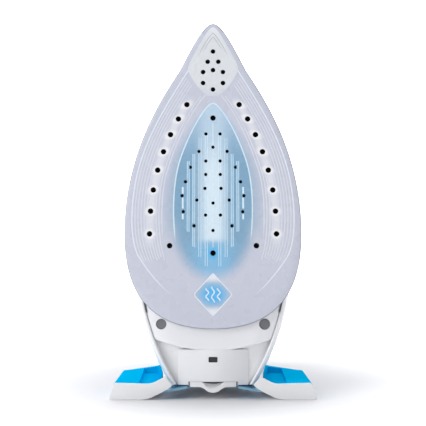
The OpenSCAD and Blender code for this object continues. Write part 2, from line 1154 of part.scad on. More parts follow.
module thermostat_dial() {
    color("#F2F3F5")
        standing()
            difference() {
                union() {
                    post(0, dial_z, deck_top + 1, deck_top + 7, dial_r);
                    post(0, dial_z, deck_top + 7, deck_top + 9, dial_r - 5);
                }
                post(0, dial_z, deck_top, deck_top + 4, shaft_r);
                for (k = [0 : 23])
                    translate([0, 0, dial_z])
                        rotate([0, 15 * k, 0])
                            post(dial_r + 0.7, 0, deck_top, deck_top + 10, 1.3);
            }
}

// ---------- steam regulator ----------

knob_low = 80;
bushing_r = 5;                            // outer radius of the bushing round the valve rod
seat_r = 5.6;                            // outer radius of the brass drip valve seat

module steam_regulator() {
    color("#1C9BE8")
        standing() {
            post(0, regulator_z, knob_low, knob_low + 4, 8);
            slab(knob_low + 4, knob_low + 8)
                translate([0, regulator_z])
                    polygon([[-2, -7], [2, -7], [3, 3], [1.2, 9.5], [-1.2, 9.5], [-3, 3]]);
        }
}

module valve_rod() {
    color("#B9BCC0")
        standing()
            post(0, regulator_z, 40, knob_low, 2);
}

module valve_bushing() {
    color("#D5D8DC")
        standing()
            difference() {
                union() {
                    post(0, regulator_z, 56, knob_low - 0.4, bushing_r);
                    post(0, regulator_z, 77.4, knob_low - 0.4, 7.4);
                }
                post(0, regulator_z, 50, 90, 2 + running);
            }
}

module valve_seat() {
    color("#C8A85A")
        standing()
            difference() {
                post(0, regulator_z, 34, split_level + 6, seat_r);
                post(0, regulator_z, 36, split_level + 7, 2 + running);
                post(0, regulator_z, 33, 37, 1);
            }
}

module indicator_lens() {
    color("#5CC8FF", 0.8)
        standing()
            post(0, 166, handle_level + 9.2, handle_level + 14.4, 3);
}

// ---------- cord inlet ----------

ball_r = 8;
trunnion_r = 2.2;
trunnion_reach = 10.2;                    // distance of the trunnions' ends from the middle plane

// Round bar across the gland, on which it nods
module trunnions(half, r) {
    translate([-half, 0, 0])
        rotate([0, 90, 0])
            cylinder(h = 2 * half, r = r);
}

module gland_socket() {
    color("#D5D8DC")
        standing()
            at_gland()
                difference() {
                    translate([0, 0, -10])
                        cylinder(h = 16, r = 11);
                    sphere(r = ball_r + 0.3);
                    trunnions(trunnion_reach + 0.3, trunnion_r + running);
                    translate([0, 0, 2])
                        cylinder(h = 10, r = ball_r + 0.4);
                    translate([0, 0, -12])
                        cylinder(h = 20, r = 5);
                }
}

module cord_gland() {
    color("#3A3D42")
        standing()
            at_gland()
                difference() {
                    union() {
                        sphere(r = ball_r);
                        trunnions(trunnion_reach, trunnion_r);
                        cylinder(h = 30, r1 = 6.2, r2 = 4.6);
                        for (k = [0 : 4])
                            translate([0, 0, 11 + 3.6 * k])
                                cylinder(h = 1.6, r = 6.4 - 0.3 * k);
                    }
                    translate([0, 0, -10])
                        cylinder(h = 50, r = cord_r);
                }
}

// ---------- electrical pieces in the lower housing ----------

module terminal_block() {
    color("#E3E0D2")
        standing()
            difference() {
                translate([-14, 28, 68])
                    cube([28, 10, 12]);
                for (x = [-9, 0, 9])
                    post(x, 74, 33, 40, 2);
            }
}

module circuit_board() {
    color("#2E7D4F")
        standing() {
            translate([-24, 30, 128])
                cube([48, 1.6, 60]);
            translate([-18, 31.6, 134])
                cube([12, 6, 18]);
            translate([2, 31.6, 150])
                cube([14, 4, 14]);
        }
}

soleplate();
heating_base();
heating_element();
element_terminals();
chamber_gasket();
chamber_cover();
cover_screws();
sole_skirt();
lower_housing();
heel_panel();
screw_plugs();
collector_housing();
collector_window();
collector_sleeve();
calc_collector();
collector_seal();
foot_left();
foot_right();
foot_cap_left();
foot_cap_right();
arch_plate();
foot_pads();
rear_column();
deck();
water_tank();
filler_neck();
filler_cap();
filler_seal();
cap_pin();
handle_outer();
handle_inner();
grip_pad();
steam_button();
steam_piston();
steam_spring();
spray_button();
spray_piston();
spray_spring();
pump_block();
spray_nozzle();
spray_pipe();
thermostat();
thermal_fuse();
dial_shaft();
dial_bushing();
thermostat_dial();
steam_regulator();
valve_rod();
valve_bushing();
valve_seat();
indicator_lens();
gland_socket();
cord_gland();
terminal_block();
circuit_board();
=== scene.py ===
import json
import math

import bmesh
import bpy
import numpy as np
from mathutils import Matrix, Vector
from mathutils.geometry import delaunay_2d_cdt


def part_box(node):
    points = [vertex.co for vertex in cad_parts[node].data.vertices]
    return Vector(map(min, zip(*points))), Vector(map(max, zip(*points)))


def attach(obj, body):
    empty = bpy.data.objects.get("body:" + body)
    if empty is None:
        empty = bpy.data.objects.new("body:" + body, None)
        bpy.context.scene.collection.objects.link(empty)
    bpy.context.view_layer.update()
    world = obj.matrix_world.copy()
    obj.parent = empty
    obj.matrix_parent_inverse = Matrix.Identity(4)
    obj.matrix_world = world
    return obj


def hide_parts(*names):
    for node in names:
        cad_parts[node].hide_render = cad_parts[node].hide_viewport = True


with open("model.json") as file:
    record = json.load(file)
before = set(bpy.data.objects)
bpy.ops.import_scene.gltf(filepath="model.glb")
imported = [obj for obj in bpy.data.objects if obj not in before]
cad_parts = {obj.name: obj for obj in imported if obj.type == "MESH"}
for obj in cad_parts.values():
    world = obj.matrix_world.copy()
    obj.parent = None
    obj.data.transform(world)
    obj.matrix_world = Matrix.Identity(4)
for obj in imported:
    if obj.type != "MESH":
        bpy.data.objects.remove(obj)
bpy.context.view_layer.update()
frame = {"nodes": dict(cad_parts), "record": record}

MM = 0.001

# ---------------------------------------------------------------- frames
# The iron leans back on its heel. Pieces are drawn in millimetres in the iron's own frame
# (X right, Y away from the ironing face, Z from heel to tip) and placed with STANDING.
# The feet are drawn upright and placed with GROUND.
mounts = {m["name"]: m for m in frame["record"]["mounts"]}
face_axis = mounts["ironing_face"]["axis"]
face_place = mounts["ironing_face"]["pos_m"]
LEAN = math.atan2(face_axis[2], -face_axis[1])
CENTRE_DEPTH = face_place[2] * math.tan(LEAN) - face_place[1]
GROUND = Matrix.Translation((0, -CENTRE_DEPTH, 0))
STANDING = GROUND @ Matrix.Rotation(-LEAN, 4, "X")


def local_box(node):
    """Lowest and highest corner of a CAD node in the iron's own frame, in millimetres."""
    back = STANDING.inverted()
    places = np.array([back @ v.co for v in frame["nodes"][node].data.vertices]) / MM
    return places.min(0), places.max(0)


# ---------------------------------------------------------------- camera
CAMERA_GAP = 744 * MM          # from the camera to the line where the ironing face meets the ground
CAMERA_HEIGHT = 135.7 * MM
LENS = 87.1


def add_camera():
    data = bpy.data.cameras.new("camera")
    data.sensor_width = 36
    data.lens = LENS
    camera = bpy.data.objects.new("camera", data)
    camera.location = (0, -CENTRE_DEPTH - CAMERA_GAP, CAMERA_HEIGHT)
    camera.rotation_euler = (math.pi / 2, 0, 0)
    bpy.context.scene.collection.objects.link(camera)
    bpy.context.scene.camera = camera


add_camera()

# ---------------------------------------------------------------- driving sizes (mm, iron's own frame)
sole_low, sole_high = local_box("soleplate")
SOLE_HALF = sole_high[0]
SOLE_REAR = sole_low[2]
SOLE_LENGTH = sole_high[2] - sole_low[2]
SOLE_THICK = sole_high[1] - sole_low[1]
SKIRT_TOP = local_box("sole_skirt")[1][1]
HOUSING_LOW, HOUSING_HIGH = local_box("lower_housing")
SPLIT = HOUSING_HIGH[1]                     # level of the joint between housing and tank
NOSE_END = HOUSING_HIGH[2]
BODY_HALF = local_box("deck")[1][0] + 1
WIDEST = 118                                # where the body is widest
NOSE_RUN = 148                              # length of the body ahead of that place
DECK_TOP = local_box("deck")[1][1]
DECK_REAR = local_box("deck")[0][2]
TANK_REAR = local_box("water_tank")[0][2]
TANK_RISE = local_box("water_tank")[1][1] - SPLIT
COLUMN_TOP = local_box("rear_column")[1][1]
HANDLE_HALF = local_box("handle_outer")[1][0]
HANDLE_THICK = 13
HANDLE_LEVEL = 131
BUTTON_X = 8.5
DIAL_LOW, DIAL_HIGH = local_box("thermostat_dial")
DIAL_Z = (DIAL_LOW[2] + DIAL_HIGH[2]) / 2
DIAL_R = (DIAL_HIGH[2] - DIAL_LOW[2]) / 2
REGULATOR_Z = local_box("valve_rod")[0][2] + 2
FILLER_AT = (0, 64.3, 248.5)
FILLER_TILT = 55
GLAND_TILT = 120
GLAND_AT = (0, 122, 48)


def body_w(z):
    """Half width of the body at height z."""
    if z > WIDEST:
        return BODY_HALF * max(0, 1 - ((z - WIDEST) / NOSE_RUN) ** 2) ** 0.8
    return BODY_HALF - 0.0004 * (WIDEST - z) ** 2.39


def tank_rise(z):
    """Height of the water tank above the joint at height z."""
    return TANK_RISE * max(0, 1 - (abs(z - 150) / 116) ** 2.4) ** 0.7


# ---------------------------------------------------------------- curves

def bezier(a, b, c, d, t):
    a, b, c, d = (np.array(p, float) for p in (a, b, c, d))
    return (1 - t) ** 3 * a + 3 * (1 - t) ** 2 * t * b + 3 * (1 - t) * t * t * c + t ** 3 * d


def bezier_way(a, b, c, d, t):
    a, b, c, d = (np.array(p, float) for p in (a, b, c, d))
    return (1 - t) ** 2 * (b - a) + 2 * (1 - t) * t * (c - b) + t * t * (d - c)


def chain(pieces, steps):
    """Points along Bezier pieces laid end to end."""
    points = [bezier(*piece, k / steps) for piece in pieces for k in range(steps)]
    return points + [np.array(pieces[-1][3], float)]


SOLE_PIECES = [
    ((0, 1), (0.107, 1), (0.237, 0.921), (0.383, 0.84)),
    ((0.383, 0.84), (0.672, 0.714), (1, 0.545), (1, 0.31)),
    ((1, 0.31), (1, 0.104), (0.672, 0), (0, 0)),
]


def sole_loop(inset, steps=30):
    """Whole outline of the sole, pulled in by the distance given."""
    half = [
        (p[0] * (SOLE_HALF - inset), SOLE_REAR + inset + p[1] * (SOLE_LENGTH - 3 * inset))
        for p in chain(SOLE_PIECES, steps)
    ]
    return half + [(-x, z) for x, z in half[-2:0:-1]]


def power_of(value, power):
    return math.copysign(abs(value) ** power, value)


def half_ring(width, base, height, power, way, edge=0.4, steps=32):
    """Half of a superellipse standing on y = base, with its two lower corners eased by edge."""
    ring = [(width - edge, base), (width - 0.3 * edge, base + way * 0.3 * edge)]
    for k in range(steps + 1):
        a = math.pi * k / steps
        rise = edge + (height - edge) * math.sin(a) ** (2 / power) if 0 < k < steps else edge
        ring.append((width * power_of(math.cos(a), 2 / power), base + way * rise))
    return ring + [(-width + 0.3 * edge, base + way * 0.3 * edge), (-width + edge, base)]


def whole_ring(width, height, power, steps=64):
    """A superellipse round the origin."""
    angles = [2 * math.pi * k / steps for k in range(steps)]
    return [(width * power_of(math.cos(a), 2 / power),
             height * power_of(math.sin(a), 2 / power)) for a in angles]


def round_corners(corners, radius, steps=5):
    """A polygon with every corner rounded; radius is one number or one for each corner."""
    radii = radius if isinstance(radius, (list, tuple)) else [radius] * len(corners)
    points = []
    for i, corner in enumerate(corners):
        here = np.array(corner, float)
        before = np.array(corners[i - 1], float) - here
        after = np.array(corners[(i + 1) % len(corners)], float) - here
        reach = min(radii[i], 0.45 * np.linalg.norm(before), 0.45 * np.linalg.norm(after))
        start = here + before / np.linalg.norm(before) * reach
        end = here + after / np.linalg.norm(after) * reach
        if radii[i] <= 0:
            points.append(here)
            continue
        for k in range(steps + 1):
            t = k / steps
            points.append((1 - t) ** 2 * start + 2 * (1 - t) * t * here + t * t * end)
    return [tuple(p) for p in points]


def circle(cx, cy, r, steps=24):
    return [(cx + r * math.cos(2 * math.pi * k / steps),
             cy + r * math.sin(2 * math.pi * k / steps)) for k in range(steps)]


# ---------------------------------------------------------------- meshes

def volume(verts, faces):
    total = 0.0
    for face in faces:
        a = verts[face[0]]
        for i in range(1, len(face) - 1):
            total += np.dot(a, np.cross(verts[face[i]], verts[face[i + 1]]))
    return total


def solid(verts, faces, hollow=False):
    """The same closed surface with its faces turned outwards, or inwards for a hollow."""
    verts = np.array(verts, float)
    if (volume(verts, faces) < 0) != hollow:
        faces = [tuple(reversed(f)) for f in faces]
    return verts, faces


def at_level(loop, y):
    """A loop given in X and Z, laid at level y."""
    return [(p[0], y, p[1]) for p in loop]


def band_faces(rows, n, closed=False):
    """Quads between neighbouring rows of n points; closed joins the last row to the first."""
    pairs = [(r, r + 1) for r in range(rows - 1)] + ([(rows - 1, 0)] if closed else [])
    return [(a * n + i, a * n + (i + 1) % n, b * n + (i + 1) % n, b * n + i) for a,
            b in pairs for i in range(n)]


def merge(parts):
    """Several meshes as one."""
    verts, faces, start = [], [], 0
    for v, f in parts:
        verts.append(np.array(v, float))
        faces += [tuple(i + start for i in face) for face in f]
        start += len(v)
    return np.vstack(verts), faces


def loft(rings, hollow=False):
    """Closed skin over rings that all have the same number of points."""
    n = len(rings[0])
    last = len(rings) - 1
    verts = np.array([p for ring in rings for p in ring], float)
    faces = [
        (r * n + i, (r + 1) * n + i, (r + 1) * n + (i + 1) % n, r * n + (i + 1) % n)
        for r in range(last)
        for i in range(n)
    ]
    faces += [tuple(range(n)), tuple(last * n + i for i in reversed(range(n)))]
    return solid(verts, faces, hollow)


def lathe(profile, steps=48, radius_at=None):
    """Closed body of revolution about Z from (radius, height) points, its ends on the axis."""
    verts, faces = [], []
    rings = []
    for r, h in profile:
        if r < 1e-6:
            rings.append([len(verts)])
            verts.append((0, 0, h))
            continue
        ring = []
        for k in range(steps):
            a = 2 * math.pi * k / steps
            rr = radius_at(r, h, a) if radius_at else r
            ring.append(len(verts))
            verts.append((rr * math.cos(a), rr * math.sin(a), h))
        rings.append(ring)
    for lower, upper in zip(rings, rings[1:]):
        for k in range(steps):
            quad = [lower[k % len(lower)], lower[(k + 1) % len(lower)], upper[(k + 1) % len(upper)],
                    upper[k % len(upper)]]
            face = tuple(dict.fromkeys(quad))
            if len(face) > 2:
                faces.append(face)
    if rings[0] == rings[-1] or len(rings[0]) > 1 and len(rings[-1]) > 1:
        for k in range(steps):
            faces.append((rings[-1][k], rings[-1][(k + 1) % steps], rings[0][(k + 1) % steps], rings[0][k]))
    return solid(verts, faces)


def prism(loop, low, high, along="y"):
    """A flat outline given depth along one axis; its points are places on the other two axes."""
    put = {
        "y": lambda p, q: (p[0], q, p[1]),
        "z": lambda p, q: (p[0], p[1], q),
        "x": lambda p, q: (q, p[0], p[1]),
    }[along]
    return loft([[put(p, q) for p in loop] for q in (low, high)])


def inside(points, loop):
    """Which points lie inside a closed loop."""
    x, z = points[:, 0], points[:, 1]
    found = np.zeros(len(points), bool)
    for (x0, z0), (x1, z1) in zip(loop, list(loop[1:]) + [loop[0]]):
        crosses = (z0 > z) != (z1 > z)
        found ^= crosses & (x < (x1 - x0) * (z - z0) / ((z1 - z0) or 1e-12) + x0)
    return found


def pulled_in(loop, distance):
    """A loop moved inwards along its own normals."""
    points = np.array(loop, float)
    way = np.roll(points, -1, 0) - np.roll(points, 1, 0)
    way /= np.linalg.norm(way, axis=1)[:, None] + 1e-12
    normal = np.stack([-way[:, 1], way[:, 0]], 1)
    area = np.sum(points[:, 0] * np.roll(points[:, 1], -1) - np.roll(points[:, 0], -1) * points[:, 1])
    return points + normal * distance * (1 if area > 0 else -1)


def plate(outer, front, back, holes=(), chamfer=0.3, spacing=3.0, rings=(), inlays=()):
    """Closed plate over an outline in X and Z, with round holes (x, z, radius).
    front(x, z) is the level of its face; rings are distances from the edge at which points are laid;
    the mesh follows the outlines of the inlays."""
    hole_loops = [circle(x, z, r + chamfer) for x, z, r in holes]
    loops = [list(map(tuple, outer))] + hole_loops
    points = np.array([p for loop in loops for p in loop], float)
    edges, start = [], 0
    for loop in loops:
        edges += [(start + i, start + (i + 1) % len(loop)) for i in range(len(loop))]
        start += len(loop)
    for inlay in inlays:
        edges += [(start + i, start + (i + 1) % len(inlay)) for i in range(len(inlay))]
        points = np.vstack([points, np.array(inlay, float)])
        start += len(inlay)
    low, high = points.min(0), points.max(0)
    xs = np.arange(low[0] + spacing / 2, high[0], spacing)
    zs = np.arange(low[1] + spacing / 2, high[1], spacing)
    grid = np.array([(x, z) for x in xs for z in zs])
    margin = pulled_in(outer, 0.6 * spacing + (max(rings) if rings else 0))
    grid = grid[inside(grid, margin) & inside(grid, outer)]
    for x, z, r in holes:
        grid = grid[np.hypot(grid[:, 0] - x, grid[:, 1] - z) > r + chamfer + 0.4 * spacing]
    extra = [pulled_in(outer, d) for d in rings]
    extra = [e[inside(e, outer)] for e in extra]
    cloud = np.vstack([points, grid, *extra])
    found = delaunay_2d_cdt([Vector(p) for p in cloud], edges, [], 0, 1e-5)
    flat = np.array([tuple(v) for v in found[0]])
    triangles = np.array([tuple(f) for f in found[2]])
    middle = flat[triangles].mean(1)
    keep = inside(middle, outer)
    for x, z, r in holes:
        keep &= np.hypot(middle[:, 0] - x, middle[:, 1] - z) > (r + chamfer) * 0.98
    triangles = triangles[keep]
    where = {}
    for new, olds in enumerate(found[3]):
        for old in olds:
            where[old] = new
    count = len(flat)
    face_y = np.array([front(x, z) for x, z in flat])
    verts = [(x, y, z) for (x, z), y in zip(flat, face_y)] + [(x, back, z) for x, z in flat]
    faces = [tuple(t) for t in triangles] + [tuple(t[::-1] + count) for t in triangles]
    turn = flat[triangles[0]]
    spin = np.cross(turn[1] - turn[0], turn[2] - turn[0])
    start = 0
    for number, loop in enumerate(loops):
        ids = [where[start + i] for i in range(len(loop))]
        start += len(loop)
        area = sum(a[0] * b[1] - b[0] * a[1] for a, b in zip(loop, loop[1:] + loop[:1]))
        outwards = (area > 0) == (number == 0)
        bands = [ids, [i + count for i in ids]]
        if number:
            x, z, r = holes[number - 1]
            steps = len(loop)
            depth = front(x + r, z)
            first = len(verts)
            verts += [(p[0], depth + chamfer, p[1]) for p in circle(x, z, r, steps)]
            verts += [(p[0], back - chamfer, p[1]) for p in circle(x, z, r, steps)]
            bands = [ids, list(range(first, first + steps)),
                     list(range(first + steps, first + 2 * steps)), bands[1]]
        for upper, lower in zip(bands, bands[1:]):
            for i in range(len(upper)):
                j = (i + 1) % len(upper)
                quad = (upper[i], upper[j], lower[j], lower[i])
                faces.append(quad if outwards != (spin > 0) else quad[::-1])
    used = sorted({i for f in faces for i in f})
    new_index = {old: new for new, old in enumerate(used)}
    verts = [verts[i] for i in used]
    faces = [tuple(new_index[i] for i in f) for f in faces]
    return solid(verts, faces)


def ribbon(points, width, top, foot, taper=0.0):
    """Closed low strip along points in X and Z; it narrows to nothing over the length given by taper."""
    points = np.array(points, float)
    way = np.gradient(points, axis=0)
    way /= np.linalg.norm(way, axis=1)[:, None] + 1e-12
    side = np.stack([-way[:, 1], way[:, 0]], 1)
    run = np.concatenate([[0], np.cumsum(np.linalg.norm(np.diff(points, axis=0), axis=1))])
    rings = []
    for p, s, at in zip(points, side, run):
        share = min(1.0, max(0.12, (run[-1] - at) / taper)) if taper else 1.0
        half = width / 2 * share
        ring = [(-half, foot), (-half * 0.8, top), (half * 0.8, top), (half, foot)]
        rings.append([(p[0] + s[0] * q, level, p[1] + s[1] * q) for q, level in ring])
    return loft(rings)


def eased(loop, low, high, edge, along="z", steps=3):
    """An outline given depth, with its two rims rounded by edge."""
    put = {
        "y": lambda p, q: (p[0], q, p[1]),
        "z": lambda p, q: (p[0], p[1], q),
        "x": lambda p, q: (q, p[0], p[1]),
    }[along]
    levels = []
    for k in range(steps + 1):
        a = math.pi / 2 * k / steps
        levels.append((low + edge * (1 - math.sin(a)), edge * (1 - math.cos(a))))
    levels = levels[::-1] + [(high - (q - low), d) for q, d in levels]
    rings = []
    for q, d in sorted(levels):
        rings.append([put(p, q) for p in pulled_in(loop, d)])
    return loft(rings)


# ---------------------------------------------------------------- pieces

def make(name, mesh, material, body="housing", place=STANDING, stands_for=(), sharp=35):
    """Makes one piece from (vertices, faces) in millimetres and seats it on its body."""
    verts, faces = mesh
    data = bpy.data.meshes.new(name)
    data.from_pydata([tuple(v) for v in np.array(verts) * MM], [], [tuple(int(i) for i in f) for f in faces])
    data.validate()
    data.shade_smooth()
    data.set_sharp_from_angle(angle=math.radians(sharp))
    piece = bpy.data.objects.new(name, data)
    for each in material if isinstance(material, (list, tuple)) else [material]:
        data.materials.append(each)
    bpy.context.scene.collection.objects.link(piece)
    piece.matrix_world = place
    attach(piece, body)
    if stands_for:
        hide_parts(*stands_for)
    return piece


def cut(piece, tools, sharp=35, operation="DIFFERENCE"):
    """Cuts closed meshes, in the piece's own frame, out of it."""
    for number, tool in enumerate(tools):
        data = bpy.data.meshes.new("tool")
        data.from_pydata([tuple(v) for v in np.array(tool[0]) * MM], [],
                         [tuple(int(i) for i in f) for f in tool[1]])
        cutter = bpy.data.objects.new("tool", data)
        bpy.context.scene.collection.objects.link(cutter)
        cutter.matrix_world = piece.matrix_world
        modifier = piece.modifiers.new(f"cut_{number}", "BOOLEAN")
        modifier.operation = operation
        modifier.solver = "EXACT"
        modifier.object = cutter
        bpy.context.view_layer.update()
        whole = piece.evaluated_get(bpy.context.evaluated_depsgraph_get())
        mesh = bpy.data.meshes.new_from_object(whole)
        piece.modifiers.clear()
        piece.data = mesh
        bpy.data.objects.remove(cutter)
    piece.data.shade_smooth()
    piece.data.set_sharp_from_angle(angle=math.radians(sharp))
    return piece


# ---------------------------------------------------------------- materials

def colour(code):
    """Linear colour with alpha from a code such as #C5C8D7."""
    parts = [int(code[i:i + 2], 16) / 255 for i in (1, 3, 5)]
    return tuple(c / 12.92 if c <= 0.04045 else ((c + 0.055) / 1.055) ** 2.4 for c in parts) + (1.0,)


class Graph:
    """Short names for the nodes that a material is built from."""

    def __init__(self, name):
        self.material = bpy.data.materials.new(name)
        self.material.use_nodes = True
        self.tree = self.material.node_tree
        self.tree.nodes.clear()
        self.shader = self.tree.nodes.new("ShaderNodeBsdfPrincipled")
        self.output = self.tree.nodes.new("ShaderNodeOutputMaterial")
        self.tree.links.new(self.shader.outputs[0], self.output.inputs[0])
        self.place = self.tree.nodes.new("ShaderNodeTexCoord").outputs["Object"]

    def put(self, socket, value):
        if isinstance(value, bpy.types.NodeSocket):
            self.tree.links.new(value, socket)
        else:
            socket.default_value = value

    def millimetres(self):
        """The three object coordinates in millimetres."""
        split = self.tree.nodes.new("ShaderNodeSeparateXYZ")
        self.tree.links.new(self.place, split.inputs[0])
        return [self.times(value, 1 / MM) for value in split.outputs]

    def math(self, operation, a, b=0.0):
        node = self.tree.nodes.new("ShaderNodeMath")
        node.operation = operation
        for socket, value in zip(node.inputs, (a, b)):
            self.put(socket, value)
        return node.outputs[0]

    def times(self, a, b):
        return self.math("MULTIPLY", a, b)

    def over(self, a, b):
        return self.math("DIVIDE", a, b)

    def plus(self, a, b):
        return self.math("ADD", a, b)

    def minus(self, a, b):
        return self.math("SUBTRACT", a, b)

    def power(self, a, b):
        return self.math("POWER", a, b)

    def larger(self, a, b):
        return self.math("MAXIMUM", a, b)

    def smaller(self, a, b):
        return self.math("MINIMUM", a, b)

    def smooth(self, value, low, high):
        """0 below low, 1 above high and a soft step between them."""
        node = self.tree.nodes.new("ShaderNodeMapRange")
        node.interpolation_type = "SMOOTHSTEP"
        self.put(node.inputs["Value"], value)
        node.inputs["From Min"].default_value = min(low, high)
        node.inputs["From Max"].default_value = max(low, high)
        node.inputs["To Min"].default_value = 0.0 if low < high else 1.0
        node.inputs["To Max"].default_value = 1.0 if low < high else 0.0
        return node.outputs["Result"]

    def blend(self, share, a, b):
        """A number between a and b."""
        rest = self.minus(1.0, share)
        return self.plus(self.times(rest, a), self.times(share, b))

    def mix(self, share, a, b):
        node = self.tree.nodes.new("ShaderNodeMix")
        node.data_type = "RGBA"
        self.put(node.inputs["Factor"], share)
        sockets = [s for s in node.inputs if s.type == "RGBA"]
        self.put(sockets[0], a)
        self.put(sockets[1], b)
        return next(s for s in node.outputs if s.type == "RGBA")

    def noise(self, scale, detail=3.0, stretch=None):
        place = self.place
        if stretch:
            mapping = self.tree.nodes.new("ShaderNodeMapping")
            mapping.inputs["Scale"].default_value = stretch
            self.tree.links.new(place, mapping.inputs["Vector"])
            place = mapping.outputs[0]
        node = self.tree.nodes.new("ShaderNodeTexNoise")
        node.inputs["Scale"].default_value = scale
        node.inputs["Detail"].default_value = detail
        self.tree.links.new(place, node.inputs["Vector"])
        return node.outputs[0]

    def bump(self, height, strength, distance):
        node = self.tree.nodes.new("ShaderNodeBump")
        node.inputs["Strength"].default_value = strength
        node.inputs["Distance"].default_value = distance * MM
        self.tree.links.new(height, node.inputs["Height"])
        self.tree.links.new(node.outputs[0], self.shader.inputs["Normal"])

    def span(self, value, low, high):
        """Spreads a noise value over the range given."""
        node = self.tree.nodes.new("ShaderNodeMapRange")
        self.put(node.inputs["Value"], value)
        node.inputs["From Min"].default_value = 0.3
        node.inputs["From Max"].default_value = 0.7
        node.inputs["To Min"].default_value = low
        node.inputs["To Max"].default_value = high
        return node.outputs["Result"]

    def set(self, **values):
        for name, value in values.items():
            self.put(self.shader.inputs[name.replace("_", " ")], value)


def finish_of(name, tint, shade, rough, grain, depth, blotch, stretch=None, **more):
    """A finish with two close tints that drift over the surface, uneven gloss and a fine grain."""
    g = Graph(name)
    drift = g.smooth(g.noise(blotch, 4.0, stretch), 0.35, 0.65)
    g.set(Base_Color=g.mix(drift, colour(tint), colour(shade)))
    g.set(Roughness=g.span(g.noise(blotch * 6, 2.0, stretch), *rough))
    g.bump(g.noise(grain, 2.0, stretch), 0.35, depth)
    g.set(**more)
    return g.material


# name, two close tints, roughness from and to, grain, depth of the grain, blotch size, other shader values
GLOSS = {"Coat_Weight": 0.25, "Coat_Roughness": 0.12}
FINISHES = [
    ("white_shell", "#F3F4F6", "#F0F1F4", (0.26, 0.34), 700, 0.02, 9, GLOSS),
    ("heel_white", "#F1F2F5", "#EEEFF3", (0.30, 0.38), 900, 0.02, 12, GLOSS),
    ("foot_white", "#F6F7F8", "#F3F4F6", (0.34, 0.42), 1100, 0.03, 16, {}),
    ("grey_plastic", "#D3D6DB", "#CED1D7", (0.36, 0.44), 1200, 0.04, 14, {}),
    # Mid grey for the band in the gap behind the skirt: painted shade in that gap.
    ("gap_shade_grey", "#9EA2A9", "#979BA2", (0.45, 0.55), 1200, 0.04, 30, {}),
    ("plug_grey", "#7A7B80", "#707176", (0.4, 0.5), 1500, 0.05, 60, {}),
    ("dark_plastic", "#2C2E33", "#26282D", (0.34, 0.44), 1500, 0.04, 30, {}),
    ("black_rubber", "#232427", "#2A2B2E", (0.62, 0.75), 2200, 0.06, 40, {}),
    ("blue_plastic", "#00A6F0", "#00A2ED", (0.5, 0.6), 900, 0.02, 5, {"Specular_IOR_Level": 0.1}),
    ("cap_blue", "#00BCF3", "#00B8F0", (0.6, 0.7), 900, 0.02, 5, {"Specular_IOR_Level": 0.0, "IOR": 1.01}),
    ("soft_grip", "#2490DA", "#2189D1", (0.55, 0.68), 2600, 0.08, 25, {}),
    ("silicone", "#C25A3C", "#B95236", (0.5, 0.6), 1400, 0.04, 40, {}),
    ("ceramic", "#DDD8CC", "#D3CDBF", (0.5, 0.62), 1800, 0.05, 50, {}),
    ("board", "#2B7A4D", "#246B43", (0.4, 0.55), 1200, 0.04, 120, {}),
    ("cast_aluminium", "#B7BABF", "#A6A9AE", (0.42, 0.58), 1600, 0.1, 60, {"Metallic": 0.9}),
    # Half-metallic grey, darker than the enamel: painted shade along the sole's turned edge.
    ("sole_edge_shaded", "#8F939C", "#868A93", (0.38, 0.48), 1200, 0.04, 30, {"Metallic": 0.35}),
    # Near-black and dull: painted shade inside the steam holes.
    ("hole_shade_black", "#050506", "#0A0A0B", (0.8, 0.9), 1500, 0.1, 80, {"Specular_IOR_Level": 0.1}),
    ("steel", "#BEC1C5", "#AEB1B6", (0.24, 0.36), 900, 0.03, 50, {"stretch": (1, 1, 9), "Metallic": 1.0}),
    ("brass", "#C8A960", "#B8984F", (0.28, 0.4), 900, 0.03, 50, {"Metallic": 1.0}),
]


def clear_plastic(name, tint, shade, rough, through):
    """Tinted see-through plastic."""
    g = Graph(name)
    drift = g.smooth(g.noise(10, 3.0), 0.35, 0.65)
    g.set(Base_Color=g.mix(drift, colour(tint), colour(shade)))
    g.set(Roughness=g.span(g.noise(60, 2.0), rough, rough + 0.05))
    g.set(IOR=1.46, Transmission_Weight=through)
    g.bump(g.noise(500, 2.0), 0.2, 0.02)
    return g.material


def print_ink(name, tint, shade):
    """Thin printed line: the tint thins out here and there."""
    g = Graph(name)
    g.set(Base_Color=g.mix(g.smooth(g.noise(220, 3.0), 0.3, 0.7), colour(tint), colour(shade)))
    g.set(Roughness=g.span(g.noise(400, 2.0), 0.26, 0.36), Coat_Weight=0.3, Coat_Roughness=0.1)
    return g.material


FINISH = {name: finish_of(name, *looks, **more) for name, *looks, more in FINISHES}
FINISH["clear_blue"] = clear_plastic("clear_blue", "#5FB6EC", "#58ACE4", 0.06, 0.72)
FINISH["pale_clear"] = clear_plastic("pale_clear", "#8CC6E8", "#80BEE4", 0.2, 0.25)
FINISH["lens"] = clear_plastic("lens", "#BFE4FA", "#A8D8F4", 0.05, 0.8)
LINE_WHITE = print_ink("line_white", "#E6EBF5", "#E0E6F2")
LINE_INNER = print_ink("line_inner", "#DCDEE9", "#D6D9E5")
LINE_FAINT = print_ink("line_faint", "#DADDE8", "#D5D9E4")
LINE_TEAR = print_ink("line_tear", "#D9EDF8", "#D0E6F4")
LINE_BAR = print_ink("line_bar", "#D9F0FC", "#CDEAFA")
LINE_FILL = print_ink("line_fill", "#9EC3DC", "#96BEDA")
LINE_GREY = print_ink("line_grey", "#A9AFB6", "#A1A8AF")

# ---------------------------------------------------------------- sole: holes and printed lines
# Places are (x, height above the sole's rear edge), in millimetres.
ROW_START, ROW_STEP, ROW_CLOSING = 70, 17.4, 0.49
ROW_X, ROW_TURN, ROW_BEND, ROW_POWER = 46.9, 68, 27.4, 2.25


def row_x(z):
    """Distance of the row of side holes from the middle, at height z above the rear edge."""
    return ROW_X - ROW_BEND * (max(0, z - ROW_TURN) / 100) ** ROW_POWER


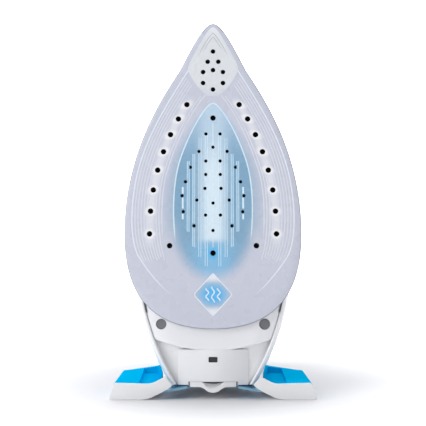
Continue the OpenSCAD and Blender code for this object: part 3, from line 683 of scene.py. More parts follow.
EDGE_HOLES = [(row_x(z), z) for z in (ROW_START + ROW_STEP * i - ROW_CLOSING * i * i for i in range(8))]
WIDE_HOLES = [(0, 157.5), (0, 55.7), (32, 61.2)]
TIP_HOLES = [(0, 209), (4, 201), (0, 194.5), (7.5, 193), (7.5, 184.5), (0, 179.5)]
FINE_HOLES = [
    (20.5, 109), (23, 98.5), (22, 86.5), (14, 76), (16.8, 120), (10.5, 132), (5.3, 145.3), (5.3, 124.7),
    (5.4, 114.5), (6, 104), (12, 95.2), (5.5, 84), (0, 135.2), (0, 93), (0, 72.5),
]
EDGE_R, TIP_R, FINE_R = 1.8, 1.5, 1.0


def steam_holes():
    """Every steam hole as (x, z, radius) in the iron's own frame."""
    found = []
    for places, r in ((EDGE_HOLES + WIDE_HOLES, EDGE_R), (TIP_HOLES, TIP_R), (FINE_HOLES, FINE_R)):
        for x, z in places:
            found.append((x, SOLE_REAR + z, r))
            if x > 0:
                found.append((-x, SOLE_REAR + z, r))
    return found


HOLES = steam_holes()

OUTER_LINE = [
    ((18.7, 194.2), (36, 166.1), (53.6, 137.7), (58.2, 105)),
    ((58.2, 105), (60.6, 88.2), (61.5, 68), (55.4, 54.3)),
    ((55.4, 54.3), (49.5, 44.5), (38.5, 30.3), (29.2, 24.2)),
]
INNER_LINE = [
    ((5.9, 175.2), (19.1, 158.8), (27.6, 137.9), (33.9, 117.9)),
    ((33.9, 117.9), (38.2, 104), (38.6, 82), (36.9, 65.4)),
    ((36.9, 65.4), (36.2, 60), (35, 55), (33.2, 49.5)),
]
TEARDROP = [
    ((0, 168.8), (6, 168.8), (19.5, 143), (25.3, 123.2)),
    ((25.3, 123.2), (30.1, 105), (29.9, 83), (27.7, 64)),
]
GLOW_LOW = 62                 # height where the teardrop's blue starts to fade into the sole
GLOW_HALF = 27.4
GLOW_RUN = 27
PRINT_TOP = -0.05             # printed lines stand out of the face by this much
PRINT_FOOT = 0.04             # and start this far inside it
HOLE_GAP = 0.25               # printed lines stop this far from a hole


def teardrop_half(z):
    """Half width of the teardrop at height z above the rear edge."""
    points = chain(TEARDROP, 40)
    heights = [p[1] for p in points][::-1]
    widths = [p[0] for p in points][::-1]
    return float(np.interp(z, heights, widths))


def clipped(points, gap, holes):
    """The stretches of a line that stay clear of the holes by the gap."""
    stretches, current = [], []
    for p in points:
        free = all(math.hypot(p[0] - x, p[1] - z) > r + gap for x, z, r in holes)
        if free:
            current.append(p)
        elif current:
            stretches.append(current)
            current = []
    if current:
        stretches.append(current)
    return [s for s in stretches if len(s) > 3]


def lifted(points):
    """Points given above the rear edge, in the iron's own frame."""
    return [(p[0], p[1] + SOLE_REAR) for p in points]


def both_sides(points):
    return [points, [(-p[0], p[1]) for p in points]]


def lines(curves, width, taper):
    """Printed lines along curves, broken at the holes and tapered towards their lower ends."""
    strips = []
    for curve in curves:
        for stretch in clipped(lifted(curve), HOLE_GAP, HOLES):
            ends_here = abs(stretch[-1][1] - lifted(curve)[-1][1]) < 0.01
            strips.append(ribbon(stretch, width, PRINT_TOP, PRINT_FOOT, taper if ends_here else 0.0))
    return merge(strips)


def sole_material():
    """Lilac enamel with the soft blue glow, white halos round the side holes and fine speckle."""
    g = Graph("sole_enamel")
    x, _, z = g.millimetres()
    x = g.math("ABSOLUTE", x)
    z = g.minus(z, float(SOLE_REAR))

    # how far out of the teardrop a point lies: 1 on its edge
    top = TEARDROP[0][0][1]
    curve = g.tree.nodes.new("ShaderNodeFloatCurve")
    g.put(curve.inputs["Value"], g.over(z, top))
    line = curve.mapping.curves[0]
    heights = [GLOW_LOW + (top - GLOW_LOW) * (1 - (1 - k / 14) ** 2) for k in range(15)]
    line.points[0].location = (0.0, teardrop_half(GLOW_LOW) / GLOW_HALF / 1.2)
    line.points[1].location = (1.0, 0.0)
    for h in heights[:-1]:
        line.points.new(h / top, teardrop_half(h) / GLOW_HALF / 1.2)
    curve.mapping.update()
    half = g.times(curve.outputs[0], GLOW_HALF * 1.2)
    upper = g.over(x, g.larger(half, 0.4))
    upper = g.plus(upper, g.larger(g.over(g.minus(z, top), 8.0), 0.0))
    across = g.power(g.over(x, GLOW_HALF), 2.0)
    drop = g.larger(g.minus(GLOW_LOW, z), 0.0)
    down = g.power(g.over(drop, GLOW_RUN), 2.0)
    lower = g.math("SQRT", g.plus(across, down))

    crisp = g.smooth(upper, 1.015, 0.985)
    soft = g.smooth(upper, 1.22, 0.75)
    faint = g.smooth(lower, 1.12, 0.62)
    high = g.smooth(z, 64, 88)
    middle = g.smooth(z, 52, 66)
    core = g.blend(high, g.blend(middle, faint, soft), crisp)
    around = g.times(g.times(g.smooth(upper, 1.42, 1.0), 0.5), g.smooth(z, 56, 80))
    glow = g.larger(core, around)

    # colour inside the teardrop
    pale = g.times(g.smooth(x, 15.5, 2.5), g.smooth(z, 58.5, 67))
    pale = g.times(pale, g.minus(1.0, g.times(g.smooth(z, 112, 158), 0.6)))
    blue = g.mix(g.smooth(z, 118, 166), colour("#7AA4C2"), colour("#A6C2DC"))
    blue = g.mix(pale, blue, colour("#D6E8F4"))
    low_blue = g.times(g.smooth(z, 68, 60), g.smooth(x, 26, 3))
    blue = g.mix(low_blue, blue, colour("#7FB9DF"))
    near = g.minus(z, WIDE_HOLES[1][1])
    spot = g.math("SQRT", g.plus(g.power(near, 2.0), g.power(x, 2.0)))
    blue = g.mix(g.times(g.smooth(spot, 6.5, 2.0), 0.75), blue, colour("#45B4EE"))

    # white halos round the side holes, joined by a soft band
    along = g.minus(ROW_STEP ** 2,
                   g.times(g.minus(z, ROW_START), 4 * ROW_CLOSING))
    number = g.over(g.minus(ROW_STEP, g.math("SQRT", along)), 2 * ROW_CLOSING)
    number = g.smaller(g.larger(number, -0.6), 7.6)
    nearest = g.smaller(g.larger(g.math("ROUND", number), 0.0), 7.0)
    pitch = g.minus(ROW_STEP, g.times(nearest, 2 * ROW_CLOSING))
    past = g.times(g.minus(number, nearest), pitch)
    bend = g.power(g.over(g.larger(g.minus(z, ROW_TURN), 0.0),
                                  100.0), ROW_POWER)
    off = g.minus(x, g.minus(ROW_X, g.times(bend, ROW_BEND)))
    away = g.math("SQRT", g.plus(g.power(past, 2.0), g.power(off, 2.0)))
    in_row = g.times(g.smooth(z, 58, 66), g.smooth(z, 176, 166))
    halo = g.times(g.smooth(away, 5.9, 2.5), 0.95)
    band = g.times(g.smooth(g.math("ABSOLUTE", off), 5.0, 0.6), 0.5)
    white = g.times(g.larger(halo, band), in_row)

    drift = g.smooth(g.noise(16, 3.0), 0.35, 0.65)
    base = g.mix(drift, colour("#C8CBDA"), colour("#C7CBD9"))
    base = g.mix(white, base, colour("#EDEEF2"))
    base = g.mix(glow, base, blue)
    speckle = g.times(g.smooth(g.noise(2600, 1.0), 0.62, 0.72), 0.05)
    base = g.mix(speckle, base, colour("#FFFFFF"))
    g.set(Base_Color=base, Roughness=g.span(g.noise(90, 2.0), 0.24, 0.32), Coat_Weight=0.4,
          Coat_Roughness=0.08)
    g.bump(g.noise(700, 2.0), 0.25, 0.015)
    return g.material


def panel_material():
    """Pale enamel of the tip panel: whiter towards the point."""
    g = Graph("tip_enamel")
    z = g.millimetres()[2]
    z = g.minus(z, float(SOLE_REAR))
    base = g.mix(g.smooth(z, 172, 186), colour("#CCD0DB"), colour("#DADEE3"))
    base = g.mix(g.smooth(z, 214, 228), base, colour("#E4E7ED"))
    base = g.mix(g.times(g.noise(40, 3.0), 0.3), base, colour("#E6EAEC"))
    g.set(Base_Color=base, Roughness=g.span(g.noise(90, 2.0), 0.24, 0.32), Coat_Weight=0.4,
          Coat_Roughness=0.08)
    g.bump(g.noise(700, 2.0), 0.25, 0.015)
    return g.material


BADGE_Z = 25.2
BADGE_HALF = (14.9, 16.1)


def badge_material():
    """Badge face: bright blue in the middle, white at its upper and lower corners."""
    g = Graph("badge_enamel")
    x, _, z = g.millimetres()
    z = g.minus(z, float(SOLE_REAR + BADGE_Z))
    far = g.math("SQRT", g.plus(g.power(g.over(x, 1.25), 2.0),
                                g.power(z, 2.0)))
    base = g.mix(g.smooth(far, 3.0, 11.0), colour("#2FB1EE"), colour("#A9BDD3"))
    base = g.mix(g.smooth(g.math("ABSOLUTE", z), 7.5, 12.5), base, colour("#E6EAF3"))
    base = g.mix(g.times(g.noise(300, 2.0), 0.08), base, colour("#FFFFFF"))
    g.set(Base_Color=base, Roughness=0.26, Coat_Weight=0.4, Coat_Roughness=0.08)
    g.bump(g.noise(700, 2.0), 0.25, 0.015)
    return g.material


RIM = 3.7                     # width of the sloping rim of the sole


def sole_face(x, z):
    """The ironing face is flat."""
    return 0.0


def rim_loop(inset, steps=30):
    """Outline of the sole pulled in along its normals, a little less near the tip."""
    outer = np.array(sole_loop(0, steps))
    moved = pulled_in(outer, 1.0) - outer
    nearness = np.exp(-(((outer[:, 1] - SOLE_REAR - SOLE_LENGTH) / 7) ** 2))
    return [tuple(p) for p in outer + moved * (inset * (1 - 0.22 * nearness))[:, None]]


def panel_loop():
    """Outline of the pale panel at the tip, in the iron's own frame."""
    edge = [p for p in rim_loop(RIM + 0.1, 60) if p[1] > SOLE_REAR + 198]
    right = sorted([p for p in edge if p[0] >= 0], key=lambda p: p[1])
    left = sorted([p for p in edge if p[0] < 0], key=lambda p: -p[1])
    low = [bezier((-18.9, 195), (-16.8, 187), (-9, 178), (-4, 174.6), k / 10) for k in range(11)]
    low = lifted(low)
    low += [(-x, z) for x, z in low[::-1]]
    return right + left + low


def rhombus(grow):
    w, h = BADGE_HALF[0] + grow, BADGE_HALF[1] + grow
    corners = [(0, -h), (w, 0), (0, h), (-w, 0)]
    loop = round_corners(corners, [1.0, 3.0, 1.0, 3.0])
    return [(x, z + SOLE_REAR + BADGE_Z) for x, z in loop]


def add_sole():
    edge = [(0.3, SOLE_THICK), (0.0, SOLE_THICK - 0.3), (0.0, 1.3), (0.14, 0.88), (0.48, 0.54),
            (0.95, 0.36), (1.5, 0.27)]
    face_loop = rim_loop(RIM)
    inlays = (panel_loop(), rhombus(0))
    verts, faces = plate(face_loop, sole_face, SOLE_THICK, HOLES, 0.3, 4.0, inlays=inlays)
    rings = [at_level(face_loop, SOLE_THICK)]
    rings += [at_level(rim_loop(inset), y) for inset, y in edge]
    rings.append(at_level(face_loop, 0.0))
    faces = [f for f in faces if not is_outer_wall(verts, f)]
    rim_verts = np.array([p for ring in rings for p in ring])
    whole = merge([(verts, faces), (rim_verts, band_faces(len(rings), len(face_loop)))])
    finishes = [sole_material(), panel_material(), badge_material(), FINISH["sole_edge_shaded"]]
    sole = make("sole_enamelled_plate", welded(whole), finishes, stands_for=["soleplate"],
                sharp=40)
    paint_inlays(sole)
    add_hole_cups()


def add_hole_cups():
    """Near-black cups that line the holes and close them towards the steam chamber; their black is painted
    shade inside the holes.
    """
    cups = []
    for x, z, r in HOLES:
        profile = [(0, SOLE_THICK - 0.35), (r - 0.12, SOLE_THICK - 0.35), (r - 0.12, 0.3), (r + 0.2, 0.0),
                   (r + 0.26, 0.06), (r + 0.02, 0.36), (r + 0.02, SOLE_THICK - 0.1), (0, SOLE_THICK - 0.1)]
        cups.append(upright(lathe(profile, 24), x, z))
    make("hole_shade_liners", merge(cups), FINISH["hole_shade_black"])


def is_outer_wall(verts, face):
    """Whether a face of the flat plate is part of the wall round its edge."""
    if len(face) != 4:
        return False
    levels = {round(float(verts[i][1]), 3) for i in face}
    return levels == {0.0, round(float(SOLE_THICK), 3)}


def welded(mesh):
    """Joins vertices that lie in one place and turns the faces outwards."""
    work = bmesh.new()
    verts = [work.verts.new(v) for v in mesh[0]]
    for face in mesh[1]:
        ring = list(dict.fromkeys(verts[i] for i in face))
        if len(ring) > 2 and work.faces.get(ring) is None:
            work.faces.new(ring)
    bmesh.ops.remove_doubles(work, verts=work.verts, dist=0.002)
    bmesh.ops.recalc_face_normals(work, faces=work.faces)
    work.verts.index_update()
    places = np.array([tuple(v.co) for v in work.verts])
    rings = [tuple(v.index for v in f.verts) for f in work.faces]
    work.free()
    return places, rings


def paint_inlays(sole):
    """Gives the faces of the tip panel and of the badge their own enamel, and the outer wall the darker edge
    finish, which paints shade along the turned edge.
    """
    loops = [(1, panel_loop()), (2, rhombus(0))]
    middles = np.array([(p.center.x / MM, p.center.z / MM) for p in sole.data.polygons])
    levels = np.array([p.center.y / MM for p in sole.data.polygons])
    for index, loop in loops:
        chosen = inside(middles, loop) & (levels < 0.5)
        for number in np.nonzero(chosen)[0]:
            sole.data.polygons[int(number)].material_index = index
    # the outer wall takes finish 3, whose darker grey is painted shade along the sole's turned edge
    for face in sole.data.polygons:
        if abs(face.normal.y) < 0.92 and is_near_edge(face.center / MM):
            face.material_index = 3


def is_near_edge(point):
    """Whether a point of the sole is on its outer wall and not in a hole."""
    return all(math.hypot(point.x - x, point.z - z) > r + 0.6 for x, z, r in HOLES)


def add_print():
    outer = chain(OUTER_LINE, 40)
    make("sole_outer_line", lines(both_sides(outer), 1.0, taper=16), LINE_WHITE)
    inner = chain(INNER_LINE[:2], 40)
    make("sole_inner_line", lines(both_sides(inner), 0.85, taper=12), LINE_INNER)
    half_tear = [tuple(p) for p in chain(TEARDROP, 40)]
    strips = [(-0.01, half_tear[0][1])] + half_tear
    make("sole_teardrop_line", lines(both_sides(strips), 1.05, taper=10), LINE_TEAR)

    family = []
    short_outer = OUTER_LINE[:2] + [((55.4, 54.3), (54.2, 51.8), (53, 49.8), (51.6, 47.8))]
    ends = zip(chain(short_outer, 40), chain(INNER_LINE, 40))
    pairs = [(np.array(a), np.array(b)) for a, b in ends]
    count = 10
    for k in range(1, count):
        share = k / count
        line = [a + (b - a) * share for a, b in pairs]
        cut_short = 3 * (k % 3)
        line = line[2:len(line) - 4 - cut_short]
        family += both_sides([tuple(p) for p in line])
    halo_gap = [
        (x, z, 3.1 if abs(x) > 15 and r == EDGE_R and z > SOLE_REAR + 65 else r)
        for x, z, r in HOLES
    ]
    strips = []
    for curve in family:
        for stretch in clipped(lifted(curve), 0.4, halo_gap):
            if len(stretch) > 8:
                strips.append(ribbon(stretch, 0.8, PRINT_TOP, PRINT_FOOT))
    make("sole_contour_lines", merge(strips), LINE_FAINT)


BARS = [(0, 153.7, 59.5), (5, 145.3, 45.5), (9.7, 142.2, 52.9), (14.3, 130, 60.2), (18.4, 124.7, 71.4),
        (22.4, 105.1, 80.3)]
BAR_HALF = 0.8


def add_bars():
    strips, fills = [], []
    for x, high, low in BARS:
        offsets = [0.0] if x == 0 else [-BAR_HALF, BAR_HALF]
        width = 0.62 if x == 0 else 0.46
        if x > 20:
            offsets, width = [0.0], 1.5
        for off in offsets:
            count = int((high - low) / 0.5)
            line = [(x + off, high + (low - high) * k / count) for k in range(count + 1)]
            for curve in both_sides(line) if x else [line]:
                for stretch in clipped(lifted(curve), 0.45, HOLES):
                    strips.append(ribbon(stretch[::2] if len(stretch) > 8 else stretch, width, PRINT_TOP,
                                         PRINT_FOOT))
        if 12 < x < 20:
            line = [(x, high + (low - high) * k / 60) for k in range(61)]
            for curve in both_sides(line):
                for stretch in clipped(lifted(curve), 0.5, HOLES):
                    fills.append(ribbon(stretch, 2 * BAR_HALF - 0.1, PRINT_TOP / 2, PRINT_FOOT))
    make("sole_steam_bars", merge(strips), LINE_BAR)
    make("sole_steam_bar_fill", merge(fills), LINE_FILL)

    chevrons = []
    for piece in (((0, 223.6), (3.2, 220.2), (6.5, 215.4), (11.3, 205)),
                  ((0, 220.3), (2.3, 217.8), (4.6, 214.4), (7.6, 208.6))):
        line = [tuple(bezier(*piece, k / 20)) for k in range(21)]
        for curve in both_sides(line):
            chevrons.append(ribbon(lifted(curve), 0.42, PRINT_TOP, PRINT_FOOT, 7))
    make("tip_chevrons", merge(chevrons), LINE_GREY)


def add_badge_lines():
    loop = rhombus(0)
    rings = [at_level(loop, PRINT_FOOT), at_level(pulled_in(loop, 0.12), PRINT_TOP),
             at_level(pulled_in(loop, 0.8), PRINT_TOP), at_level(pulled_in(loop, 0.9), PRINT_FOOT)]
    verts = np.array([p for ring in rings for p in ring])
    faces = band_faces(len(rings), len(loop), closed=True)
    make("badge_frame", solid(verts, faces), LINE_WHITE)
    waves = []
    for x in (-4.2, 0, 4.2):
        reach = 4.6 if x else 5.8
        wave = [(x + 0.95 * math.sin(math.pi * t * 1.6),
                 SOLE_REAR + BADGE_Z + reach * t) for t in np.linspace(-1, 1, 33)]
        waves.append(ribbon(wave, 1.05, PRINT_TOP, PRINT_FOOT))
    make("badge_steam_waves", merge(waves), LINE_WHITE)


# ---------------------------------------------------------------- skirt, housing and heel

def add_skirt():
    levels = [(3.4, 3.0), (2.6, 3.4), (2.5, 4.2), (2.5, SKIRT_TOP - 1.2), (2.8, SKIRT_TOP - 0.4),
              (3.6, SKIRT_TOP)]
    outer = loft([at_level(sole_loop(inset), y) for inset, y in levels])
    inner_levels = [(5.2, 3.3), (5.2, SKIRT_TOP - 2)]
    inner = loft([at_level(sole_loop(inset), y) for inset, y in inner_levels], hollow=True)
    make("heat_shield_skirt", merge([outer, inner]), FINISH["heel_white"], stands_for=["sole_skirt"])


def spread(low, high, count, nose=False):
    """Heights of a loft's rings, closer together towards the nose where wanted."""
    shares = [k / count for k in range(count + 1)]
    if nose:
        shares = [1 - (1 - s) ** 1.8 for s in shares]
    return [low + (high - low) * s for s in shares]


HEEL_STEP = SOLE_REAR - 6     # below this height the housing comes further forward
HOUSING_FOOT = 11.4           # lowest point of the housing
HEEL_FRONT = HOUSING_LOW[1]


def housing_ring(z, thin=0.0, ease=0.0):
    front = HEEL_FRONT if z < HEEL_STEP else SKIRT_TOP
    power = 7 if z < HEEL_STEP else 4
    ring = half_ring(body_w(z) - thin - ease, SPLIT - thin, SPLIT - front - 2 * thin - ease, power, -1)
    return [(x, y, z) for x, y in ring]


def add_housing():
    low, high = HOUSING_FOOT, NOSE_END
    heights = spread(low + 1.2, HEEL_STEP - 0.02, 18) + spread(HEEL_STEP + 0.02, high - 1.0, 70, nose=True)
    rings = [[(x, y, low) for x, y, _ in housing_ring(low, ease=1.4)],
             [(x, y, low + 0.4) for x, y, _ in housing_ring(low, ease=0.45)]]
    rings += [housing_ring(z) for z in heights]
    rings += [[(x, y, high) for x, y, _ in housing_ring(high - 1.0, ease=0.9)]]
    hollow = loft([housing_ring(z, thin=2.4) for z in spread(24, 245, 30)], hollow=True)
    make("housing_shell", merge([loft(rings), hollow]), FINISH["white_shell"], stands_for=["lower_housing"],
         sharp=50)


def ledge_z(x):
    """Height of the ledge that ends the heel cover, at distance x from the middle."""
    return 36.4 + 8 * (abs(x) / 43) ** 2.2


PANEL_FACE = 4.0              # level of the heel cover's face
PANEL_BACK = 12.0
PANEL_INSET = 5.0             # how far the cover's sides stand in from the body's
PLUG_AT = (38, 55.4)


def fillet(distance, radius):
    """How far a rounded edge falls back at a distance from it."""
    d = min(max(distance, 0.0), radius)
    return radius - math.sqrt(radius * radius - (radius - d) ** 2)


def heel_face(x, z):
    side = body_w(z) - PANEL_INSET - abs(x)
    low = z - ledge_z(x)
    soft = 1.0 if abs(x) > 24 else 0.35
    return PANEL_FACE + fillet(side, 1.8) + 3.0 * max(0, 1 - side / 16) ** 2 + soft * fillet(low, 1.6)


def add_heel_cover():
    rise = np.linspace(44.8, 97.5, 28)
    right = [(body_w(z) - PANEL_INSET, z) for z in rise]
    notch = [p for p in sole_loop(2.7, 60) if p[1] < 97.5]
    notch_right = sorted([p for p in notch if p[0] >= 0], key=lambda p: -p[1])
    notch_left = sorted([p for p in notch if p[0] < 0], key=lambda p: p[1])
    left = [(-x, z) for x, z in right[::-1]]
    low = [(x, ledge_z(x)) for x in np.linspace(-42, 42, 57)]
    outline = right + notch_right + notch_left + left + low
    holes = [(PLUG_AT[0], PLUG_AT[1], 3.9), (-PLUG_AT[0], PLUG_AT[1], 3.9)]
    cover = plate(outline, heel_face, PANEL_BACK, holes, 0.35, 2.2, rings=(0.25, 0.7, 1.4, 2.4, 3.6))
    make("heel_cover", cover, FINISH["heel_white"], stands_for=["heel_panel"], sharp=42)

    profile = [(0, 0), (3.4, 0), (3.75, 0.25), (3.8, 0.6), (3.8, 3.0), (0, 3.0)]
    caps = []
    for side in (1, -1):
        verts, faces = lathe(profile, 40)
        verts = np.array([(side * PLUG_AT[0] + v[0], 5.2 + v[2], PLUG_AT[1] + v[1]) for v in verts])
        caps.append(solid(verts, faces))
    make("heel_screw_plugs", merge(caps), FINISH["plug_grey"], stands_for=["screw_plugs"])


def add_side_walls():
    """Edges of the two side shells, which come forward beside the heel cover."""
    walls = []
    for side in (1, -1):
        rings = []
        for z in spread(HOUSING_FOOT + 0.2, 86, 30):
            w = body_w(z)
            shape = [
                (w - 4.8, 43.3), (w - 4.8, 7.2), (w - 4.5, 6.6), (w - 3.7, 6.3), (w - 2.7, 6.8),
                     (w - 1.6, 8.6),
                (w - 0.8, 12), (w - 0.3, 18), (w + 0.05, 26), (w + 0.12, 34), (w + 0.12, 43.3),
            ]
            rings.append([(side * x, y, z) for x, y in shape])
        walls.append(loft(rings))
    make("housing_side_edges", merge(walls), FINISH["white_shell"], sharp=50)
    # Dark strips in the slits between the heel cover and the side shells: painted shade inside the slits.
    slit_shades = []
    for side in (1, -1):
        rings = []
        for z in spread(64, 84, 16):
            w = body_w(z) - PANEL_INSET
            wide = 0.3 + 1.2 * max(0, (z - 68) / 14) ** 1.5
            shape = [(w - 0.2, 6.0), (w + wide, 6.0), (w + wide, 9.0), (w - 0.2, 9.0)]
            rings.append([(side * x, y, z) for x, y in shape])
        slit_shades.append(loft(rings))
    make("housing_side_slit_shade", merge(slit_shades), FINISH["dark_plastic"])


def add_gap_band():
    """Grey band inside the gap between the skirt and the housing; its grey is painted shade in that gap."""
    outer = loft([at_level(sole_loop(9.5), y) for y in (SKIRT_TOP - 3, SKIRT_TOP + 7)])
    inner = loft([at_level(sole_loop(11), y) for y in (SKIRT_TOP - 2, SKIRT_TOP + 6)], hollow=True)
    make("gap_shade_band", merge([outer, inner]), FINISH["gap_shade_grey"])


# ---------------------------------------------------------------- calc collector
BOX_HALF = local_box("collector_housing")[1][0]
BOX_LOW = 11.3
BOX_TOP = 36.9
BOX_BACK = 12.0
BOX_BEND = 52                 # radius of the collector's rounded front
DRAWER_HALF = 17.2
DRAWER_LOW = 9.8
DRAWER_TOP = 13.4
SCOOP_R = 8.3
WINDOW = (3.3, 27.5, 31.5)    # half width, lowest and highest point of the window


def box_face(x, z):
    """Level of the collector housing's rounded front."""
    return PANEL_FACE + BOX_BEND - math.sqrt(BOX_BEND ** 2 - x * x)


def add_collector_housing():
    outline = [(BOX_HALF, BOX_TOP)]
    outline += [(x, BOX_TOP) for x in np.linspace(BOX_HALF, -BOX_HALF, 53)[1:-1]]
    outline += [(-BOX_HALF, BOX_TOP)]
    outline += [(-BOX_HALF, z) for z in np.linspace(BOX_TOP, BOX_LOW + 1.5, 14)[1:-1]]
    left_foot = [bezier((-BOX_HALF, BOX_LOW + 1.5), (-BOX_HALF, BOX_LOW), (-BOX_HALF, BOX_LOW),
                        (-BOX_HALF + 1.8, BOX_LOW), k / 5) for k in range(6)]
    outline += [tuple(p) for p in left_foot]
    drawer = DRAWER_HALF + 0.35
    outline += [(-21.5, BOX_LOW), (-19.5, BOX_LOW), (-drawer, BOX_LOW), (-drawer, DRAWER_TOP + 0.25)]
    outline += [(x, DRAWER_TOP + 0.25) for x in np.linspace(-drawer, drawer, 35)[1:-1]]
    outline += [(drawer, DRAWER_TOP + 0.25), (drawer, BOX_LOW), (19.5, BOX_LOW), (21.5, BOX_LOW)]
    outline += [(-p[0], p[1]) for p in left_foot[::-1]]
    outline += [(BOX_HALF, z) for z in np.linspace(BOX_LOW + 1.5, BOX_TOP, 14)[1:-1]]
    box = plate(outline, box_face, BOX_BACK, (), 0, 2.0)
    housing = make("collector_front", box, FINISH["heel_white"], stands_for=["collector_housing"],
                   sharp=40)
    half, low, high = WINDOW
    window = prism(round_corners([(-half, low), (half, low), (half, high), (-half, high)], 0.9), 3.0, 7.0)
    cut(housing, [window], sharp=40)
    pane_low = [(-half + 0.05, low + 0.05), (half - 0.05, low + 0.05), (half - 0.05, high - 0.05),
                (-half + 0.05, high - 0.05)]
    pane = eased(round_corners(pane_low, 0.85), 5.0, 6.9, 0.25, "y")
    make("collector_pane", pane, FINISH["dark_plastic"], stands_for=["collector_window"])


def add_drawer():
    """Drawer of the calc collector: its face with the scooped finger tab, and the cartridge behind."""
    outline = [(x, DRAWER_TOP) for x in np.linspace(DRAWER_HALF, -DRAWER_HALF, 41)]
    outline += [(-DRAWER_HALF, DRAWER_LOW + 0.8), (-DRAWER_HALF + 0.8, DRAWER_LOW)]
    middle = DRAWER_TOP + 0.6
    meet = math.sqrt(SCOOP_R ** 2 - (middle - DRAWER_LOW) ** 2)
    outline += [(-meet - 3.4, DRAWER_LOW), (-meet - 1.6, DRAWER_LOW - 0.12), (-meet - 0.3, DRAWER_LOW - 0.75)]
    start = math.acos(meet / SCOOP_R) + 0.24
    angles = np.linspace(math.pi + start, 2 * math.pi - start, 25)
    outline += [(SCOOP_R * math.cos(a), middle + SCOOP_R * math.sin(a)) for a in angles]
    outline += [(meet + 0.3, DRAWER_LOW - 0.75), (meet + 1.6, DRAWER_LOW - 0.12), (meet + 3.4, DRAWER_LOW)]
    outline += [(DRAWER_HALF - 0.8, DRAWER_LOW), (DRAWER_HALF, DRAWER_LOW + 0.8)]

    def front(x, z):
        scoop_middle = DRAWER_TOP + 0.9
        away = math.hypot(x, (z - scoop_middle) * 1.25)
        hollow = 2.6 * max(0.0, 1 - (away / 7.1) ** 2) ** 0.6 if z < DRAWER_TOP + 1 else 0.0
        return box_face(x, z) + 0.1 + hollow

    face = plate(outline, front, 9.0, (), 0, 0.9, rings=(0.3,))
    make("calc_drawer", face, FINISH["heel_white"], body="collector", stands_for=["calc_collector"],
         sharp=50)
    radius = 7.5
    tube = [(0, 0), (radius - 0.5, 0), (radius, 0.5), (radius, 4.5), (radius - 1.1, 5.0), (radius - 1.1, 7.5),
            (radius, 8.0), (radius, 43.4), (radius - 0.6, 44), (radius - 1.9, 44), (radius - 1.9, 6), (0, 6)]
    verts, faces = lathe(tube, 48)
    verts = np.array([(v[0], 32 + v[1], 12 + v[2]) for v in verts])
    arm = eased(round_corners([(-6, 8.6), (6, 8.6), (6, 40), (-6, 40)], 1.5), DRAWER_LOW + 0.3,
                DRAWER_TOP - 0.2, 0.4, "z")
    make("calc_cartridge", solid(verts, faces), FINISH["ceramic"], body="collector")
    make("calc_drawer_arm", arm, FINISH["heel_white"], body="collector")
    add_drawer_gaps()


def add_drawer_gaps():
    """Dark plastic in the openings round the drawer, the crescent above the finger scoop and the slits at its
    ends: painted shade inside these openings.
    """
    parts = []
    upper = [(x, DRAWER_TOP + 0.1 - 0.35 * (1 - (x / 8.3) ** 2)) for x in np.linspace(-8.3, 8.3, 25)]
    lower = [(x, DRAWER_TOP + 0.05 - 1.25 * (1 - (x / 8.3) ** 2)) for x in np.linspace(8.2, -8.2, 25)]
    parts.append(plate(upper + lower, lambda x, z: box_face(x, z) - 0.02, PANEL_FACE + 2.6, (), 0, 0.8))
    for side in (1, -1):
        slit = [(17.0, DRAWER_LOW + 0.1), (17.0, 12.9), (17.2, DRAWER_TOP + 0.3), (17.9, DRAWER_TOP + 0.3),
                (17.9, 12.9), (17.75, DRAWER_LOW + 0.9), (18.6, DRAWER_LOW + 0.5), (18.6, DRAWER_LOW + 0.1)]
        level = box_face(17.4, 12)
        parts.append(prism([(side * x, z) for x, z in slit], level - 0.08, level + 1.5))
    make("calc_drawer_gap_shade", merge(parts), FINISH["dark_plastic"], body="collector")


# ---------------------------------------------------------------- feet
foot_low, foot_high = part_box("foot_right")
FOOT_REACH = foot_high.x / MM
FOOT_FRONT = (foot_low.y + CENTRE_DEPTH) / MM
FOOT_BACK = (foot_high.y + CENTRE_DEPTH) / MM
FOOT_LIFT = foot_low.z / MM
TRAY_TOP = 6.5
BAND = 2.4
WING_DROOP = 0.16             # how fast the clear plate's wings fall towards the feet


def add_foot(side, name, cap_name, node, cap_node):
    profile = [
        (FOOT_REACH, FOOT_LIFT), (FOOT_REACH - 4.2, 12.3), (44.6, 11.6), (34.8, 16.8),
        (29.4, 10.9), (31, 9.2), (37.5, 5.2), (46, 1.2), (51, FOOT_LIFT),
    ]
    band = round_corners(profile, [3.0, 1.6, 3.5, 0.9, 0.8, 1.5, 6, 6, 3], 6)
    band = [(side * x, z) for x, z in band]
    front = eased(band, FOOT_FRONT, FOOT_FRONT + BAND, 0.45, "y")
    tray = [(FOOT_REACH - 0.2, FOOT_LIFT), (FOOT_REACH - 2.3, TRAY_TOP), (38, TRAY_TOP), (37.2, 5.6),
            (46, 1.4), (51, FOOT_LIFT)]
    tray = round_corners(tray, [0.7, 0.4, 0.3, 0.4, 6, 3], 5)
    tray = [(side * x, z) for x, z in tray]
    base = eased(tray, FOOT_FRONT + BAND - 0.3, FOOT_BACK, 0.5, "y")
    make(name, front, FINISH["foot_white"], place=GROUND, stands_for=[node], sharp=40)
    make(name + "_tray", base, FINISH["foot_white"], place=GROUND, sharp=40)

    plan = [
        (38.1, FOOT_FRONT + 2.5), (FOOT_REACH - 3.4, FOOT_FRONT + 2.5), (FOOT_REACH - 4.8, FOOT_BACK - 0.1),
        (41.6, FOOT_BACK - 0.1), (38.1, FOOT_FRONT + 40),
    ]
    add_cap(side, cap_name, cap_node, plan)


def cap_level(x, y):
    """Height of the blue cap's top: it climbs towards the body at the back."""
    back = (y - FOOT_FRONT) / (FOOT_BACK - FOOT_FRONT)
    return 11.4 + back * ((FOOT_REACH - 4 - abs(x)) / 30 * 4.4 - 0.6)


